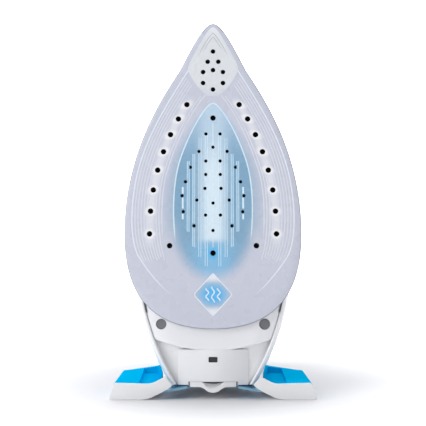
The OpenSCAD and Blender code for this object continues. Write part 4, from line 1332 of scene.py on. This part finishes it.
def add_cap(side, name, node, plan):
    loop = [(side * x, y) for x, y in round_corners(plan, [0.6, 1.2, 2.0, 1.5, 2.0])]
    mesh = plate(loop, lambda x, y: 0.35 * edge_drop(loop, x, y) - cap_level(x, y), -TRAY_TOP, (), 0, 3.0,
                 rings=(0.2, 0.5, 0.9))
    verts = np.array([(v[0], v[2], -v[1]) for v in mesh[0]])
    piece = make(name, solid(verts, mesh[1]), FINISH["cap_blue"], place=GROUND, stands_for=[node],
                 sharp=35)
    pocket = round_corners([(side * 39.6, FOOT_FRONT + 4), (side * 54, FOOT_FRONT + 4),
                            (side * 54, FOOT_BACK - 7), (side * 43.2, FOOT_BACK - 7),
                            (side * 39.8, FOOT_BACK - 30)], 1.2)
    cut(piece, [prism(pocket, 9.8, 20, "z")], sharp=35)


def edge_drop(loop, x, y):
    """1 at the edge of the loop and 0 a millimetre inside it."""
    points = np.array(loop)
    following = np.roll(points, -1, 0)
    way = following - points
    share = np.clip(((np.array((x, y)) - points) * way).sum(1) / (way * way).sum(1), 0, 1)
    gap = np.linalg.norm(points + way * share[:, None] - np.array((x, y)), axis=1).min()
    return max(0.0, 1 - gap) ** 2


def add_arch_plate():
    low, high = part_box("arch_plate")
    half = high.x / MM
    front = (low.y + CENTRE_DEPTH) / MM
    back = (high.y + CENTRE_DEPTH) / MM
    notch = DRAWER_HALF + 1.2
    wing = half + 8.5
    right = [(notch, front + 45), (notch, front), (wing, front), (wing, front + 12), (half, front + 20),
             (half, back)]
    corners = right[2:] + [(-x, y) for x, y in right[::-1]] + right[:2]
    loop = round_corners(corners, [0.8, 2, 2, 2, 2, 2, 2, 0.8, 1.5, 4, 4, 1.5])
    verts, faces = plate(loop, lambda x, y: -high.z / MM, -low.z / MM, (), 0, 3.0)
    verts = np.array([(v[0], v[2], -v[1] - WING_DROOP * max(0, abs(v[0]) - notch)) for v in verts])
    make("arch_clear_plate", solid(verts, faces), FINISH["pale_clear"], place=GROUND,
         stands_for=["arch_plate"], sharp=40)


# ---------------------------------------------------------------- upper body

COLUMN = [  # level, half width, lowest and highest height
    (SPLIT, 46, 18.8, 79.7), (54, 45, 19.4, 79.7), (66, 41.5, 20.6, 77), (77, 36.5, 22.2, 71.5),
    (87, 30, 24.2, 65), (97, 23, 26.8, 59.5), (COLUMN_TOP, HANDLE_HALF + 0.5, 29.5, 56.5),
]


def column_ring(level, thin=0.0):
    """Ring of the rear column at a level, between the stations by a smooth curve."""
    levels = [s[0] for s in COLUMN]
    width, low, high = (smooth_between(levels, [s[i] for s in COLUMN], level) for i in (1, 2, 3))
    ring = whole_ring(width - thin, (high - low) / 2 - thin, 3, 72)
    return [(x, level, (low + high) / 2 + z) for x, z in ring]


def smooth_between(places, values, at):
    """Catmull-Rom curve through values at the places given."""
    at = min(max(at, places[0]), places[-1])
    i = max(k for k in range(len(places) - 1) if places[k] <= at)
    gap = places[i + 1] - places[i]
    t = (at - places[i]) / gap
    before = values[i] - (values[i + 1] - values[i]) if i == 0 else values[i - 1]
    after = values[i + 1] + (values[i + 1] - values[i]) if i + 2 >= len(values) else values[i + 2]
    a, b = values[i], values[i + 1]
    slope_a, slope_b = (b - before) / 2, (after - a) / 2
    return ((2 * t ** 3 - 3 * t * t + 1) * a + (t ** 3 - 2 * t * t + t) * slope_a
            + (-2 * t ** 3 + 3 * t * t) * b + (t ** 3 - t * t) * slope_b)


def add_column():
    levels = spread(SPLIT + 0.4, COLUMN_TOP, 36)
    rings = [[(x * 0.992, y, z) for x, y, z in column_ring(SPLIT)]]
    rings += [column_ring(level) for level in levels]
    inner = [column_ring(level, 2.4) for level in spread(SPLIT + 2.4, COLUMN_TOP - 2.4, 12)]
    make("rear_column_shell", merge([loft(rings), loft(inner, hollow=True)]), FINISH["white_shell"],
         stands_for=["rear_column"], sharp=45)


def add_deck():
    low, high = DECK_REAR, TANK_REAR - 0.3
    steps = [(low, 1.2), (low + 0.35, 0.4)]
    steps += [(z, 0) for z in spread(low + 1.2, high - 1.0, 14)]
    steps += [(high - 0.3, 0.3), (high, 0.9)]
    rings = []
    for z, ease in steps:
        ring = half_ring(body_w(z) - 1 - ease, SPLIT, DECK_TOP - SPLIT - ease, 3.4, 1)
        rings.append([(x, y, z) for x, y in ring])
    deck = make("dial_deck", loft(rings), FINISH["grey_plastic"], stands_for=["deck"],
                sharp=45)
    well = lathe([(0, DECK_TOP - 9), (6.3, DECK_TOP - 9), (6.3, DECK_TOP + 3), (0, DECK_TOP + 3)], 48)
    cut(deck, [upright(well, 0, DIAL_Z)], sharp=45)
    marks = []
    for k in range(7):
        a = math.radians(-150 + 45 * k)
        r0, r1 = DIAL_R + 2.2, DIAL_R + (5.2 if k % 3 == 0 else 4.0)
        way = np.array([math.sin(a), math.cos(a)])
        line = [(way[0] * r, way[1] * r + DIAL_Z) for r in np.linspace(r0, r1, 4)]
        flat = [p for p in line if abs(p[0]) < 40 and low + 2 < p[1] < high - 2]
        if len(flat) == 4:
            marks.append(deck_ribbon(line, 0.9))
    make("deck_dial_marks", merge(marks), FINISH["blue_plastic"])


def deck_level(x, z):
    """Level of the deck's top surface."""
    width = body_w(z) - 1
    return SPLIT + (DECK_TOP - SPLIT) * max(0, 1 - (abs(x) / width) ** 3.4) ** (1 / 3.4)


def deck_ribbon(line, width):
    """Strip that lies on the deck."""
    verts, faces = ribbon(line, width, -0.12, 0.3)
    verts = np.array([(v[0], deck_level(v[0], v[2]) - v[1], v[2]) for v in verts])
    return solid(verts, faces)


def upright(mesh, x, z):
    """Turns a body of revolution so that its axis lies along Y, through x and z."""
    verts, faces = mesh
    return solid([(x + v[0], v[2], z + v[1]) for v in verts], faces)


def tank_ring(z, thin=0.0, ease=0.0):
    rise = tank_rise(z)
    height = rise - ease if thin == 0 else rise * 0.9 - thin
    ring = half_ring(body_w(z) - thin - ease, SPLIT + thin, max(height, 1.0), 2.5, 1, 0.5)
    return [(x, y, z) for x, y in ring]


def tilted(at, tilt):
    """A function that moves a mesh from a tilted part's own frame to its place on the iron."""
    turn = Matrix.Translation(at) @ Matrix.Rotation(math.radians(-tilt), 4, "X")
    return lambda mesh: solid([tuple(turn @ Vector(v)) for v in mesh[0]], mesh[1])


filler_turn = tilted(FILLER_AT, FILLER_TILT)
gland_turn = tilted(GLAND_AT, GLAND_TILT)


def cylinder(r, low, high, steps=48):
    return lathe([(0, low), (r, low), (r, high), (0, high)], steps)


def add_tank():
    low, high = TANK_REAR, NOSE_END
    steps = [(low, 1.0), (low + 0.3, 0.3)]
    steps += [(z, 0) for z in spread(low + 1.0, high - 1.0, 64, nose=True)]
    steps += [(high, 0.9)]
    rings = [[(x, y, z) for x, y, _ in tank_ring(min(z, high - 1.0), ease=ease)] for z, ease in steps]
    tank = make("clear_water_tank", loft(rings), FINISH["clear_blue"], stands_for=["water_tank"],
                sharp=45)
    hollow = loft([tank_ring(z, thin=2.4) for z in spread(low + 3, 246, 40)])
    root_ring = whole_ring(HANDLE_HALF + 0.3, HANDLE_THICK + 0.3, 2.6)
    root = loft([[(x, level, 207 + z) for x, z in root_ring] for level in (74, 100)])
    tools = [hollow, root, filler_turn(cylinder(9.8, -7, 14)),
             upright(cylinder(5.3, SPLIT - 1, 95), 0, REGULATOR_Z)]
    tools.append(filler_turn(prism([(-8.8, 6.4), (8.8, 6.4), (8.8, 14.4), (-8.8, 14.4)], -2, 8, "z")))
    cut(tank, tools, sharp=45)


def tank_point(z, share):
    """Point on the tank's side; share 0 is at the joint and 1 at the top."""
    a = math.pi / 2 * share
    rise = tank_rise(z)
    return np.array([body_w(z) * math.cos(a) ** (2 / 2.5), SPLIT + rise * math.sin(a) ** (2 / 2.5), z])


def add_tank_marks():
    """Filling marks on both sides of the tank."""
    parts = []
    for number, z in enumerate((150, 172, 194, 216)):
        reach = 0.30 if number == 3 else 0.22
        path = [tank_point(z, s) for s in np.linspace(0.14, 0.14 + reach, 12)]
        parts += tank_strip(path, 1.1)
    path = [tank_point(z, 0.14) for z in np.linspace(150, 216, 30)]
    parts += tank_strip(path, 0.8)
    make("tank_level_marks", merge(parts), FINISH["white_shell"])


def tank_strip(path, width):
    """Low strip along a path on the tank's side, and its twin on the other side."""
    path = np.array(path)
    way = np.gradient(path, axis=0)
    way /= np.linalg.norm(way, axis=1)[:, None]
    rings = []
    for p, w in zip(path, way):
        ahead = tank_normal(p)
        side = np.cross(w, ahead)
        rings.append([p - side * width / 2 - ahead * 0.1, p - side * width * 0.4 + ahead * 0.1,
                      p + side * width * 0.4 + ahead * 0.1, p + side * width / 2 - ahead * 0.1])
    right = loft(rings)
    left = loft([[(-q[0], q[1], q[2]) for q in ring] for ring in rings])
    return [right, left]


def tank_normal(p):
    """Outward direction of the tank's surface near a point on its right side."""
    width, rise = body_w(p[2]), tank_rise(p[2])
    nx = (max(p[0], 0.01) / width) ** 1.5 / width
    ny = (max(p[1] - SPLIT, 0.01) / rise) ** 1.5 / rise
    normal = np.array([nx, ny, 0.25 * (nx + ny) * (1 if p[2] > WIDEST else 0)])
    return normal / np.linalg.norm(normal)


def add_filler():
    neck = lathe([(7.2, -5), (9.5, -5), (9.5, 1.1), (9.1, 1.5), (7.6, 1.5), (7.2, 1.1)], 56)
    parts = [filler_turn(neck)]
    for side in (1, -1):
        lug = eased(round_corners([(7, -1.5), (14, -1.5), (14, 3.4), (12.6, 5.2), (11.2, 5.2), (7, 2.2)],
                                  [0.3, 0.5, 1.8, 1.2, 1, 0.5]),
                    min(side * 6, side * 8.5), max(side * 6, side * 8.5), 0.3, "x")
        parts.append(filler_turn(lug))
    make("filler_neck_ring", merge(parts), FINISH["grey_plastic"], stands_for=["filler_neck"])

    lid = lathe([(0, -1.5), (5.0, -1.5), (5.4, -1.1), (5.4, 1.8), (8.7, 1.8), (9.0, 2.1), (9.0, 3.4),
                 (8.4, 4.1), (6.5, 4.35), (0, 4.5)], 56)
    cap = make("filler_lid", filler_turn(lid), FINISH["white_shell"], body="filler_lid",
               stands_for=["filler_cap"], sharp=45)
    hinge_y, hinge_z, pin = 12, 3.2, 1.15
    arm = eased(round_corners([(-5.4, 6), (5.4, 6), (5.4, 11.5), (-5.4, 11.5)], 0.8), 1.85, 4.2, 0.4, "z")
    barrel = lathe([(pin, -5.4), (2.0, -5.4), (2.3, -5.1), (2.3, 5.1), (2.0, 5.4), (pin, 5.4)], 32)
    barrel = solid([(v[2], hinge_y + v[0], hinge_z + v[1]) for v in barrel[0]], barrel[1])
    cut(cap, [filler_turn(arm), filler_turn(barrel)], sharp=45, operation="UNION")
    ring = lathe([(6.0, 4.3), (6.6, 4.62), (7.2, 4.3), (6.6, 4.1)], 56)
    drop = drop_shape(3.6)
    icon = eased(drop, 4.35, 4.75, 0.12, "z")
    make("filler_lid_mark", merge([filler_turn(ring), filler_turn(icon)]), FINISH["blue_plastic"],
         body="filler_lid")


def drop_shape(height):
    """Outline of a water drop about as high as given, its point at the top."""
    r = height * 0.36
    points = []
    for k in range(25):
        a = math.radians(-215 + 250 * k / 24)
        points.append((r * math.cos(a), -height * 0.14 + r * math.sin(a)))
    return points + [(0.12 * height, 0.28 * height), (0, height * 0.55), (-0.12 * height, 0.28 * height)]


# ---------------------------------------------------------------- handle
REAR_ROOT = (COLUMN_TOP, 43)
CREST = (HANDLE_LEVEL, 110)
FRONT_BEND = (HANDLE_LEVEL - 19, 208)
FRONT_ROOT = (76, 207)
HANDLE_PATH = [
    (REAR_ROOT, (124, 43), (HANDLE_LEVEL, 62), CREST),
    (CREST, (HANDLE_LEVEL + 2, 160), (HANDLE_LEVEL + 3, 207), FRONT_BEND),
    (FRONT_BEND, (96, 208), (88, 207), FRONT_ROOT),
]


def handle_frame(s):
    """Point of the handle's middle line as (y, z), and the direction out of it."""
    i = min(int(s), 2)
    point = bezier(*HANDLE_PATH[i], s - i)
    way = bezier_way(*HANDLE_PATH[i], s - i)
    way = way / np.linalg.norm(way)
    return point, np.array([way[1], -way[0]])


def handle_half(way, steps):
    rings = []
    for s in steps:
        point, out = handle_frame(s)
        ring = half_ring(HANDLE_HALF, 0, HANDLE_THICK, 2.6, way, 0.35, 28)
        rings.append([(x, point[0] + out[0] * q, point[1] + out[1] * q) for x, q in ring])
    return loft(rings)


HANDLE_STEPS = spread(0, 1, 18) + spread(1, 2, 34)[1:] + spread(2, 3, 10)[1:]
BUTTON_LOW = 127
BUTTON_Z = 201
BUTTON_TOP = ((136, 210.2), (138.6, 208), (143.2, 199), (144, 193))   # curve of a button's top


def button_pocket(side):
    loop = round_corners([(side * BUTTON_X - 7.4, BUTTON_Z - 8.4), (side * BUTTON_X + 7.4, BUTTON_Z - 8.4),
                          (side * BUTTON_X + 7.4, BUTTON_Z + 9.6),
                          (side * BUTTON_X - 7.4, BUTTON_Z + 9.6)], 2.2)
    return prism(loop, 118, 158)


def pump_room():
    low, high = local_box("pump_block")
    corners = [(low[0] - 0.2, low[2] - 0.2), (high[0] + 0.2, low[2] - 0.2),
               (high[0] + 0.2, high[2] + 0.2), (low[0] - 0.2, high[2] + 0.2)]
    return prism(corners, low[1] - 0.2, 126.2)


def add_handle():
    halves = (
        (1, "handle_top_shell", "handle_outer", "white_shell"),
        (-1, "handle_under_shell", "handle_inner", "grey_plastic"),
    )
    for way, name, node, finish in halves:
        shell = make(name, handle_half(way, HANDLE_STEPS), FINISH[finish], stands_for=[node],
                     sharp=45)
        tools = [pump_room(), button_pocket(1), button_pocket(-1), gland_turn(cylinder(11.2, -10.3, 30))]
        if way > 0:
            tools.append(upright(cylinder(3.3, HANDLE_LEVEL + 9, 160), 0, 166))
        cut(shell, tools, sharp=45)


def add_grip():
    steps = [0.78 + 0.805 * k / 60 for k in range(61)]
    rings = []
    for k, s in enumerate(steps):
        point, out = handle_frame(s)
        end = min(k, len(steps) - 1 - k)
        swell = 1 - max(0, 1 - end / 5) ** 2
        groove = 0.35 * (0.5 + 0.5 * math.cos(2 * math.pi * k / 4)) if 6 < k < 54 else 0.0
        depth = HANDLE_THICK - 0.3 + 2.1 * swell - groove
        width = 14.5 * (0.82 + 0.18 * swell)
        ring = half_ring(width, -HANDLE_THICK / 2, depth - HANDLE_THICK / 2, 2.6, -1, 0.5, 24)
        rings.append([(x, point[0] + out[0] * q, point[1] + out[1] * q) for x, q in ring])
    make("grip_ribbed_pad", loft(rings), FINISH["soft_grip"], stands_for=["grip_pad"],
         sharp=50)


def add_buttons():
    for side, body, name, node in ((1, "steam_pump", "steam_key", "steam_button"),
                                   (-1, "spray_pump", "spray_key", "spray_button")):
        profile = [(BUTTON_LOW, 193), (BUTTON_LOW, 210.2)] + [tuple(p) for p in chain([BUTTON_TOP], 12)]
        cap = eased(profile, side * BUTTON_X - 7, side * BUTTON_X + 7, 1.2, "x", 4)
        stem = upright(cylinder(2.4, 119, BUTTON_LOW + 0.5, 32), side * BUTTON_X, 207)
        make(name, cap, FINISH["blue_plastic"], body=body, stands_for=[node], sharp=40)
        make(name + "_stem", stem, FINISH["blue_plastic"], body=body)
        make(name + "_icon", button_icon(side), FINISH["white_shell"], body=body)


def button_level(z):
    """Level of the button's top at height z."""
    points = chain([BUTTON_TOP], 40)
    return float(np.interp(z, [p[1] for p in points][::-1], [p[0] for p in points][::-1]))


def button_icon(side):
    """Raised sign on a button: rising waves for steam, drops for spray."""
    parts = []
    if side > 0:
        for x in (-2, 0, 2):
            line = [(side * BUTTON_X + x + 0.5 * math.sin(math.pi * 1.6 * t),
                     201 + 2.6 * t) for t in np.linspace(-1, 1, 17)]
            parts.append(ribbon(line, 0.7, -0.15, 0.3))
    else:
        for x, z in ((-1.9, 202.4), (1.9, 202.4), (0, 198.8)):
            loop = [(side * BUTTON_X + x + p[0], z + p[1]) for p in drop_shape(2.8)]
            parts.append(prism(loop, -0.15, 0.3))
    verts, faces = merge(parts)
    verts = np.array([(v[0], button_level(v[2]) - v[1], v[2]) for v in verts])
    return solid(verts, faces)


# ---------------------------------------------------------------- dial, regulator, nozzle, lens, gland

def add_dial():
    low = DIAL_LOW[1]

    def grooved(r, h, a):
        if r < DIAL_R - 2.2:
            return r
        return r - 0.75 * max(0.0, math.cos(24 * a)) ** 6

    rim = [(1, 0), (0.4, 0.6), (0, 2), (0.3, 4.6), (1.2, 5.7), (2.6, 6.0), (4.6, 6.0), (5.0, 6.3), (5.2, 7.5),
           (6.0, 8.0), (10, 7.7)]
    profile = [(3, low)] + [(DIAL_R - r, low + h) for r, h in rim]
    profile += [(r, low + 7.5) for r in (4, 1, 0.5, 0)]
    top = lathe([(0, low)] + profile, 192, grooved)
    make("temperature_dial", upright(top, 0, DIAL_Z), FINISH["white_shell"], body="dial",
         stands_for=["thermostat_dial"], sharp=45)
    marks = []
    for number, turn in enumerate((-60, 0, 60)):
        for k in range(number + 1):
            a = math.radians(turn + (k - number / 2) * 12)
            dot = [(r * 0.72, h) for r, h in ((0, 0), (1.0, 0), (1.0, 0.28), (0.7, 0.4), (0, 0.4))]
            r = DIAL_R - 9.2
            verts, faces = lathe(dot, 20)
            marks.append(solid([(r * math.sin(a) + v[0], low + 7.68 + v[2],
                                 DIAL_Z + r * math.cos(a) + v[1]) for v in verts], faces))
    bar = ribbon([(0, DIAL_Z - 10 - 5.2 * k / 6) for k in range(7)], 1.4, -0.25, 0.35)
    marks.append(solid([(v[0], low + 7.85 - v[1], v[2]) for v in bar[0]], bar[1]))
    make("dial_marks", merge(marks), FINISH["blue_plastic"], body="dial")


def add_regulator():
    low = local_box("steam_regulator")[0][1]

    def toothed(r, h, a):
        return r - 0.3 * (0.5 + 0.5 * math.cos(30 * a)) if r > 7 else r

    knob = lathe([(0, low), (7.4, low), (7.9, low + 0.5), (8.0, low + 2), (7.9, low + 3.4),
                  (7.3, low + 4), (0, low + 4.1)], 120, toothed)
    piece = make("regulator_knob", upright(knob, 0, REGULATOR_Z), FINISH["blue_plastic"], body="regulator",
                 stands_for=["steam_regulator"], sharp=40)
    lever = round_corners([(-2.2, -7), (2.2, -7), (3, 3), (1.4, 9.5), (-1.4, 9.5), (-3, 3)],
                          [1.2, 1.2, 2, 1.2, 1.2, 2])
    lever = eased([(x, z + REGULATOR_Z) for x, z in lever], low + 3.5, low + 8, 0.8, "y", 4)
    cut(piece, [lever], sharp=40, operation="UNION")


def add_nozzle():
    profile = [(0.6, 0), (4, 0), (4, 3.4), (3.6, 4), (2.9, 4.1), (2.6, 4.5), (2.5, 5.6), (2.1, 6),
               (1.1, 6), (0.6, 5.4)]
    verts, faces = lathe(profile, 40)
    nozzle = solid([(v[0], 35 + v[1], NOSE_END + v[2]) for v in verts], faces)
    make("spray_jet", nozzle, FINISH["blue_plastic"], stands_for=["spray_nozzle"])


def add_lens():
    low, high = local_box("indicator_lens")
    mid_z = (low[2] + high[2]) / 2
    top = high[1]
    profile = [(0, low[1]), (3.0, low[1]), (3.0, top - 1.0), (2.7, top - 0.5), (1.8, top - 0.1), (0, top)]
    make("lamp_lens", upright(lathe(profile, 40), 0, mid_z), FINISH["lens"],
         stands_for=["indicator_lens"])


def add_gland():
    bore, ball = 3.2, 8.0
    start = math.asin(bore / ball)
    profile = [(bore, -ball * math.cos(start))]
    for k in range(1, 15):
        a = math.pi - start - (math.pi - start - math.radians(52)) * k / 14
        profile.append((ball * math.sin(a), ball * math.cos(a)))
    profile.append((5.6, 6.2))
    for k in range(5):
        at = 10.2 + 3.8 * k
        thin = 5.45 - 0.3 * k
        thick = 6.5 - 0.3 * k
        profile += [(thin, at), (thick - 0.3, at + 0.35), (thick, at + 0.8), (thick, at + 1.5),
                    (thick - 0.3, at + 1.95), (thin - 0.1, at + 2.3)]
    profile += [(4.6, 29.4), (4.3, 30), (3.5, 30), (bore, 29.7)]
    gland = make("cord_strain_relief", gland_turn(lathe(profile, 48)), FINISH["dark_plastic"], body="gland",
                 stands_for=["cord_gland"], sharp=40)
    bar = lathe([(0, -10.2), (2.0, -10.2), (2.2, -10.0), (2.2, -6.6), (0, -6.6)], 32)
    pins = [gland_turn(solid([(side * v[2], v[0], v[1]) for v in bar[0]], bar[1])) for side in (1, -1)]
    cut(gland, pins, sharp=40, operation="UNION")


# ---------------------------------------------------------------- CAD nodes that keep their own mesh
KEPT = {
    "cast_aluminium": ["heating_base", "chamber_cover"],
    "steel": ["heating_element", "cover_screws", "cap_pin", "steam_spring", "spray_spring", "valve_rod"],
    "brass": ["element_terminals", "dial_shaft", "valve_seat"],
    "silicone": ["chamber_gasket"],
    "grey_plastic": ["collector_sleeve", "steam_piston", "spray_piston", "pump_block", "dial_bushing",
                     "valve_bushing", "gland_socket"],
    "black_rubber": ["collector_seal", "foot_pads", "filler_seal"],
    "pale_clear": ["spray_pipe"],
    "ceramic": ["thermostat", "thermal_fuse", "terminal_block"],
    "board": ["circuit_board"],
}


def dress_kept_nodes():
    for finish, nodes in KEPT.items():
        for node in nodes:
            data = frame["nodes"][node].data
            data.materials.clear()
            data.materials.append(FINISH[finish])


# ---------------------------------------------------------------- stage and light

def add_stage():
    """Pale floor that curves up into the backdrop. It glows more the further it lies from the iron: painted
    light on the far floor and backdrop, and a painted shadow round the iron.
    """
    profile = [(-12.0, 0.0), (1.6, 0.0)]
    profile += [(1.6 + 0.8 * math.sin(a), 0.8 - 0.8 * math.cos(a)) for a in np.linspace(0.1, math.pi / 2, 12)]
    profile += [(2.4, 4.0)]
    verts = [(x, y, z) for x in (-9.0, 9.0) for y, z in profile]
    n = len(profile)
    faces = [(i, i + 1, n + i + 1, n + i) for i in range(n - 1)]
    data = bpy.data.meshes.new("backdrop")
    data.from_pydata(verts, [], faces)
    data.shade_smooth()
    floor = bpy.data.objects.new("backdrop", data)
    g = Graph("backdrop")
    x, y, _ = g.millimetres()
    away = g.math("SQRT", g.plus(g.times(x, x), g.times(y, y)))
    # glow: none within 70 mm of the iron, half from 220 mm to 600 mm, full by 2.2 m; painted light away from
    # the iron and painted shadow near it
    glow = g.blend(g.smooth(away, 600, 2200), g.times(g.smooth(away, 70, 220), 0.5), 1.0)
    g.set(Base_Color=g.mix(g.noise(2.0, 2.0), colour("#EEEEF0"), colour("#ECECEF")), Roughness=0.75)
    g.set(Emission_Color=colour("#FFFFFF"), Emission_Strength=glow)
    data.materials.append(g.material)
    bpy.context.scene.collection.objects.link(floor)


def add_light(name, place, aim, size, power):
    data = bpy.data.lights.new(name, "AREA")
    data.shape = "RECTANGLE"
    data.size, data.size_y = size
    data.energy = power
    lamp = bpy.data.objects.new(name, data)
    lamp.location = place
    lamp.rotation_euler = (Vector(aim) - Vector(place)).to_track_quat("-Z", "Y").to_euler()
    bpy.context.scene.collection.objects.link(lamp)


def add_lights():
    middle = (0, 0, 0.14)
    add_light("key", (-1.9, -1.2, 1.2), middle, (1.3, 1.3), 21)
    add_light("front", (-0.3, -2.4, 0.6), middle, (1.6, 1.0), 4.5)
    add_light("over", (0.0, -0.35, 2.2), middle, (2.0, 1.8), 14)
    world = bpy.data.worlds.new("studio")
    world.use_nodes = True
    background = world.node_tree.nodes["Background"]
    background.inputs["Color"].default_value = colour("#FDFDFF")
    background.inputs["Strength"].default_value = 0.24
    bpy.context.scene.world = world
    bpy.context.scene.view_settings.view_transform = "Standard"


# ---------------------------------------------------------------- build
add_sole()
add_print()
add_bars()
add_badge_lines()
add_skirt()
add_housing()
add_heel_cover()
add_collector_housing()
add_drawer()
add_side_walls()
add_gap_band()
add_foot(-1, "heel_foot_left", "blue_cap_left", "foot_left", "foot_cap_left")
add_foot(1, "heel_foot_right", "blue_cap_right", "foot_right", "foot_cap_right")
add_arch_plate()
add_column()
add_deck()
add_tank()
add_tank_marks()
add_filler()
add_handle()
add_grip()
add_buttons()
add_dial()
add_regulator()
add_nozzle()
add_lens()
add_gland()
dress_kept_nodes()
add_stage()
add_lights()
